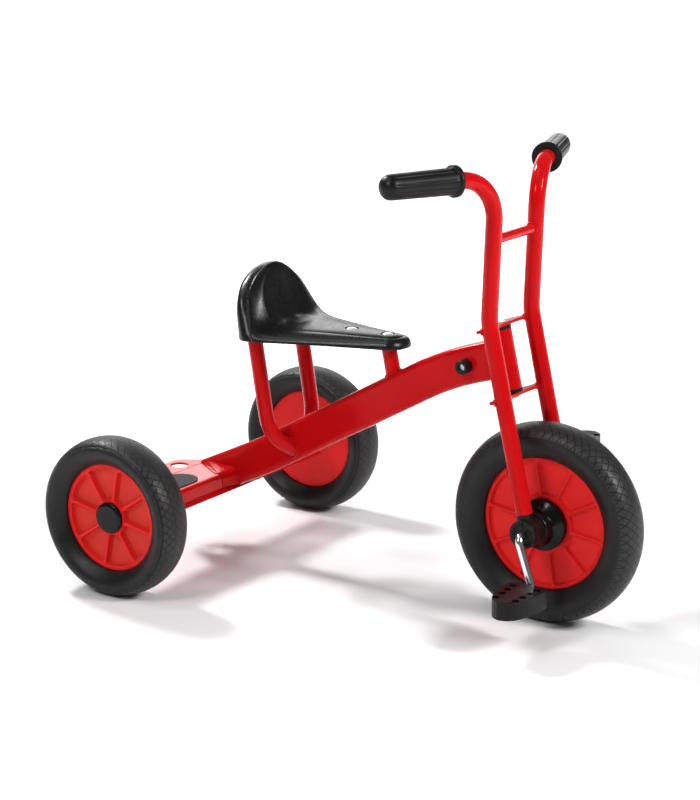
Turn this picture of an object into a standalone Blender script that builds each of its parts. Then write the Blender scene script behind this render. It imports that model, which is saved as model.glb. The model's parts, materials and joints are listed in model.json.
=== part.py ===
"""A child's steel tricycle for nursery use.

World frame: +X forward, +Y to the rider's left, +Z up, in metres.
The origin is on the ground, at the centre of the overall length and width.
"""
import math

import bmesh
import bpy
from mathutils import Matrix, Vector

# Running gap between pieces that touch on the real tricycle
GAP = 0.0003

# Wheels and axles
REAR_RADIUS = 0.110
FRONT_RADIUS = 0.134
TYRE_WIDTH = 0.058
REAR_BEAD_RADIUS = 0.0756
FRONT_BEAD_RADIUS = 0.0902
WHEELBASE = 0.536
TRACK = 0.470
REAR_RIM_HALF = 0.011
FRONT_RIM_HALF = 0.010
AXLE_RADIUS = 0.006
BUSH_RADIUS = 0.010
REAR_RIB_COUNT = 8
REAR_RIB_PHASE = math.radians(-10.5)
REAR_RECESS = 0.008
FRONT_RIB_COUNT = 10
FRONT_RIB_PHASE = math.radians(-8.0)
FRONT_RECESS = 0.006
REAR_HUB_RADIUS = 0.024
FRONT_HUB_RADIUS = 0.0385
RIB_HALF_WIDTH = 0.0016
RIB_FOOT = 0.0018
HUB_CAP_RADIUS = 0.0215
HUB_CAP_HEIGHT = 0.0062

# Axle housing, a pressed channel that the child steps on
HOUSING_REAR = -0.029
HOUSING_FRONT = 0.037
HOUSING_TOP = 0.126
HOUSING_FLOOR = 0.101
HOUSING_LIP = 0.007
HOUSING_HALF_LENGTH = 0.196
HOUSING_WALL = 0.0025
HOUSING_CORNER = 0.007
SADDLE_REACH = 0.028
PAD_WIDTH = 0.050
PAD_THICKNESS = 0.0015
PAD_INNER_END = 0.071
TOW_PLATE_TOP = 0.1115
TOW_PLATE_THICKNESS = 0.003
TOW_HOLE_SETBACK = 0.073
TOW_HOLE_RADIUS = 0.0133
TOW_NOSE_REACH = 0.022
TOW_NOSE_CORNER = 0.018
TOW_NOSE_SPREAD = 0.011
TOW_ROOT_HALF_WIDTH = 0.061

# Main beam, a rounded rectangular tube arched up to the head
BEAM_WIDTH = 0.030
BEAM_DEPTH = 0.052
BEAM_CORNER = 0.0085
BEAM_LIFT = 0.0028
BEAM_LOW_CORNER = 0.085
BEAM_LOW_HEIGHT = 0.1527
BEAM_HIGH_SETBACK = 0.0822
BEAM_HIGH_DROP = 0.0258
BEAM_LOW_BEND = 0.900
BEAM_HIGH_BEND = 0.420
TUBE_WALL = 0.002

# Steering
HEAD_RAKE = math.radians(13.0)
FORK_OFFSET = 0.021
FORK_HALF_SPREAD = 0.0545
FORK_TUBE_RADIUS = 0.0111
LEG_START = 0.0245
KINK_HEIGHT = 0.275
KINK_ANGLE = math.radians(15.0)
KINK_BEND = 0.090
RISER_LENGTH = 0.1885
HANDLEBAR_BEND = 0.056
GRIP_SWEEP = math.radians(19.7)
GRIP_RISE = math.radians(1.2)
GRIP_REACH = 0.0650
GRIP_LENGTH = 0.1155
GRIP_RADIUS = 0.0172
GRIP_TIP_RADIUS = 0.0160
GRIP_FLANGE_RADIUS = 0.0205
GRIP_FLANGE = 0.0055
BRACE_HEIGHT = 0.108
BRACE_RADIUS = 0.0065
LOWER_PLATE_HEIGHT = 0.173
UPPER_PLATE_HEIGHT = 0.266
PLATE_THICKNESS = 0.004
HEAD_TUBE_RADIUS = 0.0165
HEAD_FLANGE = 0.0045
PIVOT_RADIUS = 0.006
PIVOT_HEAD_HEIGHT = 0.0018
PIVOT_NUT_HEIGHT = 0.0035
BUFFER_RADIUS = 0.0095
BUFFER_LENGTH = 0.014
BUFFER_SETBACK = 0.0485

# Front hub, crank and pedals
BLOCK_RADIUS = 0.0190
BLOCK_INNER = 0.041
HUB_COVER_RADIUS = 0.0345
HUB_COVER_BASE = 0.0172
BLOCK_OUTER = 0.069
CRANK_RADIUS = 0.0055
CRANK_LENGTH = 0.073
CRANK_ANGLE = math.radians(19.5)
CRANK_ARM_OFFSET = 0.080
CRANK_BEND = 0.010
PEDAL_PIN_BEND = 0.0075
PEDAL_INNER = 0.088
PEDAL_LENGTH = 0.080
PEDAL_WIDTH = 0.056
PEDAL_THICKNESS = 0.024
PEDAL_HOLE_RADIUS = 0.0050

# Seat and what carries it
SEAT_FLOOR = 0.338
SEAT_REAR = 0.078
SEAT_NOSE = 0.317
SEAT_BACK_HEIGHT = 0.0942
SEAT_PAN_HEIGHT = 0.0165
SEAT_RIDGE_HEIGHT = 0.0133
SEAT_HALF_WIDTH = 0.091
SEAT_CORNER = 0.040
NOSE_HALF_WIDTH = 0.029
NOSE_LENGTH = 0.022
CREST_REAR_INSET = 0.022
CREST_SIDE_INSET = 0.036
CREST_NOSE_INSET = 0.0104
CREST_TIP_INSET = 0.0116
CREST_CORNER = 0.028
SEAT_BACK_RUN = 1.07
SEAT_BACK_FALL = 1.62
SEAT_BACK_TAIL = 0.070
BOWL_SPINE = 0.100
# Skirt: share of the way in to the crest, share of its height, swell at the back
SEAT_SKIRT = ((0.00, 0.00, 0.0), (0.04, 0.30, 0.006), (0.13, 0.60, 0.012),
              (0.26, 0.86, 0.013), (0.46, 0.97, 0.008), (0.72, 0.998, 0.0), (1.00, 1.00, 0.0))
# Bowl: share of the way from the crest to the spine, share of the crest's height
SEAT_BOWL = ((0.06, 0.97), (0.12, 0.89), (0.18, 0.77), (0.24, 0.63), (0.31, 0.47),
             (0.38, 0.32), (0.46, 0.18), (0.56, 0.07), (0.76, 0.0))
SEAT_TUBE_RADIUS = 0.0105
SEAT_TUBE_SPREAD = 0.054
SEAT_TUBE_TOP = 0.1022
SEAT_TUBE_CORNER = 0.1270
SEAT_TUBE_FOOT = 0.1378
SEAT_TUBE_BEND = 0.055
SEAT_POST_LEAN = 0.216
BRACKET_TOP = 0.3472
BRACKET_THICKNESS = 0.003
BRACKET_STRAP = 0.0105
BRACKET_CROSS = 0.020
SEAT_POCKET_MARGIN = 0.0045
SEAT_BOLT_RADIUS = 0.003
SEAT_BOLT_SETBACK = 0.031
SEAT_BOLT_SPACING = 0.058

# Places that follow from the sizes above
REAR_X = -(WHEELBASE + FRONT_RADIUS - REAR_RADIUS) / 2
FRONT_X = REAR_X + WHEELBASE
REAR_HUB = Vector((REAR_X, 0, REAR_RADIUS))
FRONT_HUB = Vector((FRONT_X, 0, FRONT_RADIUS))
STEER_UP = Vector((-math.sin(HEAD_RAKE), 0, math.cos(HEAD_RAKE)))
STEER_FORWARD = Vector((math.cos(HEAD_RAKE), 0, math.sin(HEAD_RAKE)))
STEER_ORIGIN = FRONT_HUB - FORK_OFFSET * STEER_FORWARD

SIDES = {"left": 1, "right": -1}


def clear_scene():
    """Remove what the start-up file holds."""
    for item in list(bpy.data.objects):
        bpy.data.objects.remove(item, do_unlink=True)


def make_material(name, colour, roughness, metallic=0.0):
    """A Principled material with the part's colour and finish."""
    material = bpy.data.materials.new(name)
    material.use_nodes = True
    shader = material.node_tree.nodes["Principled BSDF"]
    shader.inputs["Base Color"].default_value = (*colour, 1.0)
    shader.inputs["Roughness"].default_value = roughness
    shader.inputs["Metallic"].default_value = metallic
    return material


def make_materials():
    """The finishes that the tricycle has."""
    return {
        "paint": make_material("red_paint", (0.62, 0.008, 0.012), 0.25),
        "hub": make_material("red_plastic", (0.58, 0.03, 0.02), 0.35),
        "black": make_material("black_plastic", (0.018, 0.018, 0.019), 0.38),
        "rubber": make_material("tyre_rubber", (0.030, 0.030, 0.032), 0.75),
        "pad": make_material("grip_pad", (0.045, 0.047, 0.050), 0.95),
        "chrome": make_material("chrome", (0.75, 0.76, 0.78), 0.12, 1.0),
        "steel": make_material("zinc_steel", (0.55, 0.56, 0.58), 0.35, 1.0),
    }


def add_empty(name, location, parent=None, tilt=0.0):
    """An axis marker that moving pieces hang on."""
    empty = bpy.data.objects.new(name, None)
    empty.location = location
    empty.rotation_euler = (0.0, tilt, 0.0)
    empty.parent = parent
    bpy.context.scene.collection.objects.link(empty)
    return empty


def add_object(name, shape, material=None, parent=None, location=(0, 0, 0)):
    """Turn a bmesh into a named object with outward faces."""
    bmesh.ops.recalc_face_normals(shape, faces=shape.faces)
    mesh = bpy.data.meshes.new(name)
    shape.to_mesh(mesh)
    shape.free()
    mesh.shade_smooth()
    mesh.set_sharp_from_angle(angle=math.radians(35.0))
    if material:
        mesh.materials.append(material)
    item = bpy.data.objects.new(name, mesh)
    item.location = location
    item.parent = parent
    bpy.context.scene.collection.objects.link(item)
    return item


def add_cutter(name, shape, parent=None, location=(0, 0, 0)):
    """A guide shape that a Boolean uses and the build leaves out."""
    cutter = add_object(name, shape, None, parent, location)
    cutter.hide_render = True
    cutter.display_type = "WIRE"
    return cutter


def apply_boolean(item, cutter, operation="DIFFERENCE"):
    """Cut or join with an exact Boolean that stays on the object."""
    modifier = item.modifiers.new(cutter.name, "BOOLEAN")
    modifier.object = cutter
    modifier.operation = operation
    modifier.solver = "EXACT"


def bridge(shape, rings, closed):
    """Join rings of equal length with quads."""
    count = len(rings)
    last = count if closed else count - 1
    for i in range(last):
        ring, following = rings[i], rings[(i + 1) % count]
        for j in range(len(ring)):
            k = (j + 1) % len(ring)
            shape.faces.new((ring[j], ring[k], following[k], following[j]))


def loft(rings, closed=False):
    """A closed body through rings of points, with flat ends unless closed."""
    shape = bmesh.new()
    rows = [[shape.verts.new(point) for point in ring] for ring in rings]
    bridge(shape, rows, closed)
    if not closed:
        shape.faces.new(rows[0])
        shape.faces.new(rows[-1])
    return shape


def lathe(profile, segments, circumscribed=False, half_step=False):
    """Turn a closed (radius, offset) profile about the Y axis.

    A circumscribed body has its flats, not its edges, at the true radius.
    Points at zero radius close the body on its axis.
    """
    shape = bmesh.new()
    step = 2 * math.pi / segments
    grow = 1 / math.cos(step / 2) if circumscribed else 1.0
    shift = 0.5 if half_step else 0.0
    rows = []
    for radius, offset in profile:
        if radius == 0.0:
            rows.append([shape.verts.new((0, offset, 0))])
            continue
        row = []
        for i in range(segments):
            angle = (i + shift) * step
            x = radius * grow * math.cos(angle)
            z = radius * grow * math.sin(angle)
            row.append(shape.verts.new((x, offset, z)))
        rows.append(row)
    for i, row in enumerate(rows):
        following = rows[(i + 1) % len(rows)]
        if len(row) == 1 and len(following) == 1:
            continue
        for j in range(segments):
            k = (j + 1) % segments
            if len(row) == 1:
                shape.faces.new((row[0], following[k], following[j]))
            elif len(following) == 1:
                shape.faces.new((row[j], row[k], following[0]))
            else:
                shape.faces.new((row[j], row[k], following[k], following[j]))
    return shape


def rotate_shape(shape, matrix):
    """Turn a bmesh in place and hand it back."""
    bmesh.ops.transform(shape, matrix=matrix, verts=shape.verts)
    return shape


def upright(shape):
    """Turn a body made about Y so that its axis runs along Z."""
    return rotate_shape(shape, Matrix.Rotation(math.radians(90.0), 4, "X"))


def rod(radius, start, end, segments=20):
    """A plain round bar along Y."""
    profile = [(0.0, start), (radius, start), (radius, end), (0.0, end)]
    return lathe(profile, segments)


def sleeve(outer, inner, start, end, segments=24):
    """A round bar along Y with a bore."""
    profile = [(inner, start), (outer, start), (outer, end), (inner, end)]
    return lathe(profile, segments)


def hex_nut(corner, bore, start, end):
    """A six-sided nut along Y with a round bore."""
    step = 2 * math.pi / 12
    rings = []
    for radius, offset, is_hex in ((bore, start, False), (corner, start, True),
                                   (corner, end, True), (bore, end, False)):
        ring = []
        for i in range(12):
            flat = is_hex and i % 2
            reach = radius * math.cos(step) if flat else radius
            if not is_hex:
                reach = radius / math.cos(step / 2)
            ring.append((reach * math.cos(i * step), offset, reach * math.sin(i * step)))
        rings.append(ring)
    return loft(rings, closed=True)


def prism(outline, low, high, axis="Z"):
    """Extrude an outline of (a, b) points along Z or Y."""
    if axis == "Z":
        rings = [[(a, b, level) for a, b in outline] for level in (low, high)]
    else:
        rings = [[(a, level, b) for a, b in outline] for level in (low, high)]
    return loft(rings)


def arc_points(centre, radius, start, end, steps):
    """Points on an arc, angles in degrees."""
    points = []
    for i in range(steps + 1):
        angle = math.radians(start + (end - start) * i / steps)
        points.append((centre[0] + radius * math.cos(angle),
                       centre[1] + radius * math.sin(angle)))
    return points


def rounded_path(points, radii, steps=6):
    """Round the corners of a route; radii are for the inner points."""
    route = [Vector(points[0])]
    for i, radius in enumerate(radii, start=1):
        corner = Vector(points[i])
        back = (Vector(points[i - 1]) - corner).normalized()
        ahead = (Vector(points[i + 1]) - corner).normalized()
        half = back.angle(ahead) / 2
        reach = radius / math.tan(half)
        centre = corner + (back + ahead).normalized() * radius / math.sin(half)
        first = corner + back * reach - centre
        final = corner + ahead * reach - centre
        span = first.angle(final)
        for j in range(steps + 1):
            share = j / steps
            blend = (math.sin((1 - share) * span) * first + math.sin(share * span) * final)
            route.append(centre + blend / math.sin(span))
    route.append(Vector(points[-1]))
    return route


def route_frames(route):
    """A tangent and two side vectors at each point, without twist."""
    frames = []
    side = None
    for i, point in enumerate(route):
        before = route[max(i - 1, 0)]
        after = route[min(i + 1, len(route) - 1)]
        tangent = (after - before).normalized()
        if side is None:
            guide = Vector((0, 1, 0)) if abs(tangent.y) < 0.9 else Vector((1, 0, 0))
            side = guide
        side = (side - tangent * side.dot(tangent)).normalized()
        frames.append((point, tangent, side, tangent.cross(side)))
    return frames


def slide_to_plane(point, direction, plane):
    """Move a point along a direction onto a plane (point, normal)."""
    origin, normal = Vector(plane[0]), Vector(plane[1])
    travel = (origin - point).dot(normal) / direction.dot(normal)
    return point + direction * travel


def sweep(route, section, start_plane=None, end_plane=None):
    """Rings of a section, given as (side, up) pairs, along a route."""
    rings = []
    frames = route_frames(route)
    for i, (point, tangent, side, up) in enumerate(frames):
        ring = [point + side * a + up * b for a, b in section]
        if i == 0 and start_plane:
            ring = [slide_to_plane(p, tangent, start_plane) for p in ring]
        if i == len(frames) - 1 and end_plane:
            ring = [slide_to_plane(p, tangent, end_plane) for p in ring]
        rings.append(ring)
    return rings


def circle_section(radius, sides):
    """Points round a circle."""
    step = 2 * math.pi / sides
    return [(radius * math.cos(i * step), radius * math.sin(i * step)) for i in range(sides)]


def box_section(width, depth, corner, steps=2):
    """Points round a rectangle with rounded corners."""
    half_w, half_d = width / 2 - corner, depth / 2 - corner
    points = []
    for i, (a, b) in enumerate(((1, 1), (-1, 1), (-1, -1), (1, -1))):
        start = 90.0 * i
        points += arc_points((a * half_w, b * half_d), corner, start, start + 90.0, steps)
    return points


def hollow(outer_rings, inner_rings):
    """A pipe with open ends: out along one skin and back along the other."""
    return loft(outer_rings + inner_rings[::-1], closed=True)


def pipe(route, outer, inner, sides=14, start_plane=None, end_plane=None):
    """A bent round tube with a bore."""
    skins = [sweep(route, circle_section(radius, sides), start_plane, end_plane)
             for radius in (outer, inner)]
    return hollow(skins[0], skins[1])


def beam_route():
    """Centre line of the main beam, from the axle housing to the head."""
    rear = REAR_X + HOUSING_REAR + HOUSING_WALL + 0.002
    head = STEER_ORIGIN + STEER_UP * head_centre() + Vector((0, 0, BEAM_LIFT))
    low_corner = Vector((REAR_X + BEAM_LOW_CORNER, 0, BEAM_LOW_HEIGHT))
    high_corner = head - Vector((BEAM_HIGH_SETBACK, 0, BEAM_HIGH_DROP))
    first = Vector((rear, 0, HOUSING_FLOOR - GAP))
    bends = [BEAM_LOW_BEND, BEAM_HIGH_BEND]
    return rounded_path([first, low_corner, high_corner, head], bends, steps=5)


def head_centre():
    """Height of the head tube's middle up the steering axis."""
    return (LOWER_PLATE_HEIGHT + UPPER_PLATE_HEIGHT) / 2


def beam_rings(width, depth, corner):
    """Rings of the beam's skin, cut upright at the rear."""
    section = box_section(width, depth, corner)
    rear_plane = (beam_route()[0], (1, 0, 0))
    return sweep(beam_route(), section, start_plane=rear_plane)


def beam_level(distance):
    """Beam centre and slope at a distance ahead of the rear axle."""
    route = beam_route()
    x = REAR_X + distance
    for near, far in zip(route, route[1:]):
        if near.x <= x <= far.x:
            share = (x - near.x) / (far.x - near.x)
            return near.lerp(far, share), (far - near).normalized()
    raise ValueError("distance is off the beam")


def steering_cylinder(name, radius, low, high, steering):
    """A cutter along the steering axis."""
    return add_cutter(name, upright(rod(radius, low, high, 32)), steering)


def build_beam(materials, steering):
    """The arched beam, open at both ends and coped to the head tube."""
    outer = beam_rings(BEAM_WIDTH, BEAM_DEPTH, BEAM_CORNER)
    shrink = 2 * TUBE_WALL
    inner = beam_rings(BEAM_WIDTH - shrink, BEAM_DEPTH - shrink, BEAM_CORNER - TUBE_WALL)
    beam = add_object("main_beam", hollow(outer, inner), materials["paint"])
    floor = prism([(REAR_X - 0.1, -0.1), (REAR_X + 0.1, -0.1), (REAR_X + 0.1, 0.1),
                   (REAR_X - 0.1, 0.1)], 0.0, HOUSING_FLOOR)
    apply_boolean(beam, add_cutter("floor_cut", floor))
    axle_hole = rod(AXLE_RADIUS + GAP, -0.05, 0.05)
    apply_boolean(beam, add_cutter("axle_cut", axle_hole, None, REAR_HUB))
    head_cut = steering_cylinder("head_cut", HEAD_TUBE_RADIUS + GAP,
                                 head_centre() - 0.06, head_centre() + 0.06, steering)
    apply_boolean(beam, head_cut)


def build_head(materials, steering):
    """Head tube welded to the beam, with a bush pressed into each end."""
    low = LOWER_PLATE_HEIGHT + PLATE_THICKNESS / 2 + GAP
    high = UPPER_PLATE_HEIGHT - PLATE_THICKNESS / 2 - GAP
    bore = HEAD_TUBE_RADIUS - TUBE_WALL
    tube_low, tube_high = low + HEAD_FLANGE + GAP, high - HEAD_FLANGE - GAP
    tube = upright(sleeve(HEAD_TUBE_RADIUS, bore, tube_low, tube_high, 28))
    add_object("head_tube", tube, materials["paint"], steering)
    pivot = PIVOT_RADIUS + GAP
    plug = bore - GAP - 0.0002
    for name, face, lip, depth in (("head_bush_lower", low, low + HEAD_FLANGE, tube_low + 0.014),
                                   ("head_bush_upper", high, high - HEAD_FLANGE, tube_high - 0.014)):
        profile = [(pivot, face), (HEAD_TUBE_RADIUS, face), (HEAD_TUBE_RADIUS, lip),
                   (plug, lip), (plug, depth), (pivot, depth)]
        add_object(name, upright(lathe(profile, 20)), materials["black"], steering)


def housing_half(edge, sign, inset):
    """One side of the axle housing's section, from its lip up to its top."""
    face = edge - sign * inset
    corner = HOUSING_CORNER - inset
    top = HOUSING_TOP - inset
    points = [(face + sign * HOUSING_LIP, HOUSING_FLOOR), (face, HOUSING_FLOOR + 0.0055)]
    start = 0.0 if sign > 0 else 180.0
    return points + arc_points((face - sign * corner, top - corner), corner, start, 90.0, 4)


def housing_outline(inset):
    """Cross-section of the axle housing in X and Z, from front lip to rear lip."""
    front = housing_half(REAR_X + HOUSING_FRONT, 1, inset)
    rear = housing_half(REAR_X + HOUSING_REAR, -1, inset)
    return front + rear[::-1]


def build_housing(materials):
    """The pressed channel, its end plates, tread pads and tow plate."""
    outline = housing_outline(0.0) + housing_outline(HOUSING_WALL)[::-1]
    shape = prism(outline, -HOUSING_HALF_LENGTH, HOUSING_HALF_LENGTH, "Y")
    housing = add_object("axle_housing", shape, materials["paint"])
    grow = 2 * GAP
    notch = loft(beam_rings(BEAM_WIDTH + grow, BEAM_DEPTH + grow, BEAM_CORNER + GAP))
    apply_boolean(housing, add_cutter("beam_notch", notch))
    plate_outline = housing_outline(HOUSING_WALL + GAP)
    for side, sign in SIDES.items():
        ends = sorted((sign * (HOUSING_HALF_LENGTH - 0.006), sign * (HOUSING_HALF_LENGTH - 0.002)))
        plate = add_object("axle_plate_" + side, prism(plate_outline, *ends, "Y"), materials["paint"])
        hole = rod(AXLE_RADIUS + GAP, -0.01, 0.01)
        place = REAR_HUB + Vector((0, sign * HOUSING_HALF_LENGTH, 0))
        apply_boolean(plate, add_cutter("axle_hole_" + side, hole, None, place))
        build_pad(materials, side, sign)
        build_saddle(materials, side, sign)
    build_tow_plate(materials)


def build_saddle(materials, side, sign):
    """Pressed collar that fairs the housing into the side of the beam."""
    skin = [(x, z) for x, z in housing_half(REAR_X + HOUSING_FRONT, 1, 0.0)[1:]]
    rings = []
    for share in (0.0, 0.25, 0.55, 1.0):
        y = sign * (BEAM_WIDTH / 2 + GAP + SADDLE_REACH * share)
        fade = (1 - share) ** 1.6
        tail = REAR_X - 0.019 + 0.040 * share
        top = HOUSING_TOP + 2 * GAP
        inner = [(x + GAP, z + GAP) for x, z in skin] + [(tail, HOUSING_TOP + GAP)]
        lift = 0.0006 + 0.0045 * fade
        outer = [(tail + 0.002, top), (tail + 0.010, top + lift), (skin[-1][0], top + lift)]
        swell = 0.0008 + 0.0082 * fade
        corner = (skin[-1][0], HOUSING_TOP - HOUSING_CORNER)
        reach = (HOUSING_CORNER + swell, HOUSING_CORNER + lift)
        for angle in (60.0, 30.0, 0.0):
            outer.append((corner[0] + reach[0] * math.cos(math.radians(angle)),
                          corner[1] + reach[1] * math.sin(math.radians(angle)) + 2 * GAP))
        outer.append((skin[0][0] + swell, skin[0][1] + GAP))
        rings.append([(x, y, z) for x, z in inner + outer])
    add_object("beam_saddle_" + side, loft(rings), materials["paint"])


def build_pad(materials, side, sign):
    """Rubber tread glued to the housing, round at its inner end."""
    middle = REAR_X + (HOUSING_FRONT + HOUSING_REAR) / 2 - 0.001
    radius = PAD_WIDTH / 2
    round_end = arc_points((middle, PAD_INNER_END + radius), radius, 180.0, 360.0, 12)
    outline = round_end + [(middle + radius, HOUSING_HALF_LENGTH - 0.004),
                           (middle - radius, HOUSING_HALF_LENGTH - 0.004)]
    outline = [(x, sign * y) for x, y in outline]
    low = HOUSING_TOP + GAP
    add_object("tread_pad_" + side, prism(outline, low, low + PAD_THICKNESS), materials["pad"])


def build_tow_plate(materials):
    """Flat plate behind the housing with a hole to hitch a trailer."""
    root = REAR_X + HOUSING_REAR - GAP
    centre = (REAR_X - TOW_HOLE_SETBACK, 0.0)
    corner = (centre[0] - TOW_NOSE_REACH + TOW_NOSE_CORNER, TOW_NOSE_SPREAD)
    away = Vector((root - corner[0], TOW_ROOT_HALF_WIDTH - corner[1]))
    turn = math.atan2(away.y, away.x) + math.acos(TOW_NOSE_CORNER / away.length)
    half = [(root, TOW_ROOT_HALF_WIDTH)]
    half += arc_points(corner, TOW_NOSE_CORNER, math.degrees(turn), 180.0, 7)
    outline = half + [(x, -y) for x, y in reversed(half)]
    low = TOW_PLATE_TOP - TOW_PLATE_THICKNESS
    plate = add_object("tow_plate", prism(outline, low, TOW_PLATE_TOP), materials["paint"])
    hole = upright(rod(TOW_HOLE_RADIUS, -0.02, 0.02, 28))
    apply_boolean(plate, add_cutter("tow_hole", hole, None, (*centre, TOW_PLATE_TOP)))


def build_rear_axle(materials):
    """Axle rod with spacers, and a nut under each hub cap."""
    reach = TRACK / 2 + 0.0148
    add_object("rear_axle", rod(AXLE_RADIUS, -reach, reach), materials["steel"], None, REAR_HUB)
    bore = AXLE_RADIUS + GAP
    spacer_end = TRACK / 2 - REAR_RIM_HALF - GAP
    nut_start = TRACK / 2 + REAR_RIM_HALF + GAP
    for side, sign in SIDES.items():
        start = HOUSING_HALF_LENGTH - 0.002 + GAP
        ends = sorted((sign * start, sign * spacer_end))
        spacer = sleeve(BUSH_RADIUS - 0.001, bore, *ends)
        add_object("axle_spacer_" + side, spacer, materials["steel"], None, REAR_HUB)
        nut = hex_nut(0.0095, bore, sign * nut_start, sign * (nut_start + 0.0025))
        add_object("axle_nut_" + side, nut, materials["steel"], None, REAR_HUB)


def tyre_profile(radius, bead):
    """Half-round tyre section with a flat crown, as (radius, offset)."""
    half = TYRE_WIDTH / 2
    height = radius - bead
    side = [(bead, 0.54 * half), (bead + 0.36 * height, 0.93 * half),
            (bead + 0.66 * height, 0.99 * half), (bead + 0.92 * height, 0.62 * half),
            (radius, 0.14 * half)]
    return side + [(r, -offset) for r, offset in reversed(side)]


def build_tyre(name, radius, bead, segments, materials, hub):
    """Air-free rubber tyre that stands on one flat of its crown."""
    profile = tyre_profile(radius, bead)
    shape = lathe(profile, segments, circumscribed=True, half_step=True)
    return add_object(name, shape, materials["rubber"], hub)


def rim_angles(radius, count, phase):
    """Angles round the rim, two on each rib and two at its feet, and whether on the rib."""
    pitch = 2 * math.pi / count
    top = math.asin(RIB_HALF_WIDTH / radius)
    foot = math.asin((RIB_HALF_WIDTH + RIB_FOOT) / radius)
    angles = []
    for i in range(count):
        centre = phase + i * pitch
        for offset in (-foot, -top, top, foot):
            angles.append((centre + offset, abs(offset) <= top))
        angles.append((centre + pitch / 2, False))
    return angles


def rim_face(radii, pattern, top, floor, hub_top):
    """Rings of one ribbed face, as rows of (x, y, z) points."""
    bore, hub, ring, edge = radii
    slope = 0.003
    stations = [(bore, None), (hub, None), (hub + slope, "panel"), (ring - slope, "panel"),
                (ring, None), (edge, None)]
    rows = []
    for radius, kind in stations:
        row = []
        for angle, on_rib in rim_angles(max(radius, hub), *pattern):
            level = hub_top if radius <= hub else top
            if kind == "panel" and not on_rib:
                level = floor
            row.append((radius * math.cos(angle), level, radius * math.sin(angle)))
        rows.append(row)
    return rows


def flat_face(radii, pattern, level):
    """Rings of a plain face with the same angles as the ribbed one."""
    rows = []
    for radius in (radii[0], radii[3]):
        row = [(radius * math.cos(angle), level, radius * math.sin(angle))
               for angle, _ in rim_angles(max(radius, radii[1]), *pattern)]
        rows.append(row)
    return rows


def build_rim(name, bead, hub_radius, bore, pattern, faces, materials, hub):
    """Moulded wheel centre: ribs outside, and plain or ribbed inside."""
    half, floor, boss, outward, both = faces
    edge = bead - 0.0006
    radii = (bore, hub_radius, edge - 0.008, edge)
    face = rim_face(radii, pattern, outward * half, outward * floor, outward * boss)
    if both:
        back = rim_face(radii, pattern, -outward * half, -outward * floor, -outward * boss)
    else:
        back = flat_face(radii, pattern, -outward * half)
    shape = loft(face + back[::-1], closed=True)
    return add_object(name, shape, materials["hub"], hub)


def build_rear_wheels(materials):
    """Both rear wheels, each turning on its own bush."""
    for side, sign in SIDES.items():
        place = REAR_HUB + Vector((0, sign * TRACK / 2, 0))
        hub = add_empty("rear_hub_" + side, place)
        build_tyre("rear_tyre_" + side, REAR_RADIUS, REAR_BEAD_RADIUS, 48, materials, hub)
        half = REAR_RIM_HALF
        build_rim("rear_rim_" + side, REAR_BEAD_RADIUS, REAR_HUB_RADIUS, BUSH_RADIUS + GAP,
                  (REAR_RIB_COUNT, REAR_RIB_PHASE),
                  (half, half - REAR_RECESS, half, sign, False), materials, hub)
        bush = sleeve(BUSH_RADIUS, AXLE_RADIUS + GAP, -half, half)
        add_object("wheel_bush_" + side, bush, materials["black"], hub)
        base = half + GAP
        crown = base + HUB_CAP_HEIGHT
        wall = 0.0018
        profile = [(0.0, sign * crown), (0.62 * HUB_CAP_RADIUS, sign * crown),
                   (0.90 * HUB_CAP_RADIUS, sign * (crown - 0.0015)),
                   (HUB_CAP_RADIUS, sign * (crown - 0.004)), (HUB_CAP_RADIUS, sign * base),
                   (HUB_CAP_RADIUS - wall, sign * base),
                   (HUB_CAP_RADIUS - wall, sign * (crown - 0.004)),
                   (0.6 * HUB_CAP_RADIUS, sign * (crown - wall)), (0.0, sign * (crown - wall))]
        add_object("hub_cap_" + side, lathe(profile, 24), materials["black"], hub)


def handlebar_points(sign):
    """Corners of one fork tube, in the steering frame."""
    foot = Vector((FORK_OFFSET, sign * FORK_HALF_SPREAD, LEG_START))
    kink = Vector((FORK_OFFSET, sign * FORK_HALF_SPREAD, KINK_HEIGHT))
    rise = Vector((math.sin(KINK_ANGLE), 0, math.cos(KINK_ANGLE)))
    top = kink + rise * RISER_LENGTH
    flange = top + grip_direction(sign) * GRIP_REACH
    return foot, kink, top, flange


def grip_direction(sign):
    """Unit vector out along a grip, in the steering frame."""
    level = math.cos(GRIP_RISE)
    world = Vector((-math.sin(GRIP_SWEEP) * level, sign * math.cos(GRIP_SWEEP) * level,
                    math.sin(GRIP_RISE)))
    return Matrix.Rotation(HEAD_RAKE, 3, "Y") @ world


def build_fork(materials, steering):
    """Two bent tubes from the wheel to the grips, joined by a brace and two plates."""
    for side, sign in SIDES.items():
        foot, kink, top, flange = handlebar_points(sign)
        tip = flange + grip_direction(sign) * (GRIP_LENGTH - 0.014)
        route = rounded_path([foot, kink, top, tip], [KINK_BEND, HANDLEBAR_BEND], steps=6)
        tube = pipe(route, FORK_TUBE_RADIUS, FORK_TUBE_RADIUS - TUBE_WALL)
        add_object("fork_tube_" + side, tube, materials["paint"], steering)
        build_grip(side, flange, grip_direction(sign), materials, steering)
    reach = FORK_HALF_SPREAD - FORK_TUBE_RADIUS - GAP
    kink = handlebar_points(1)[1]
    rise = Vector((math.sin(KINK_ANGLE), 0, math.cos(KINK_ANGLE)))
    place = kink + rise * BRACE_HEIGHT
    place.y = 0.0
    add_object("handlebar_brace", rod(BRACE_RADIUS, -reach, reach, 16), materials["paint"],
               steering, place)
    for name, height in (("crown_plate_lower", LOWER_PLATE_HEIGHT),
                         ("crown_plate_upper", UPPER_PLATE_HEIGHT)):
        build_crown_plate(name, height, materials, steering)


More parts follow.
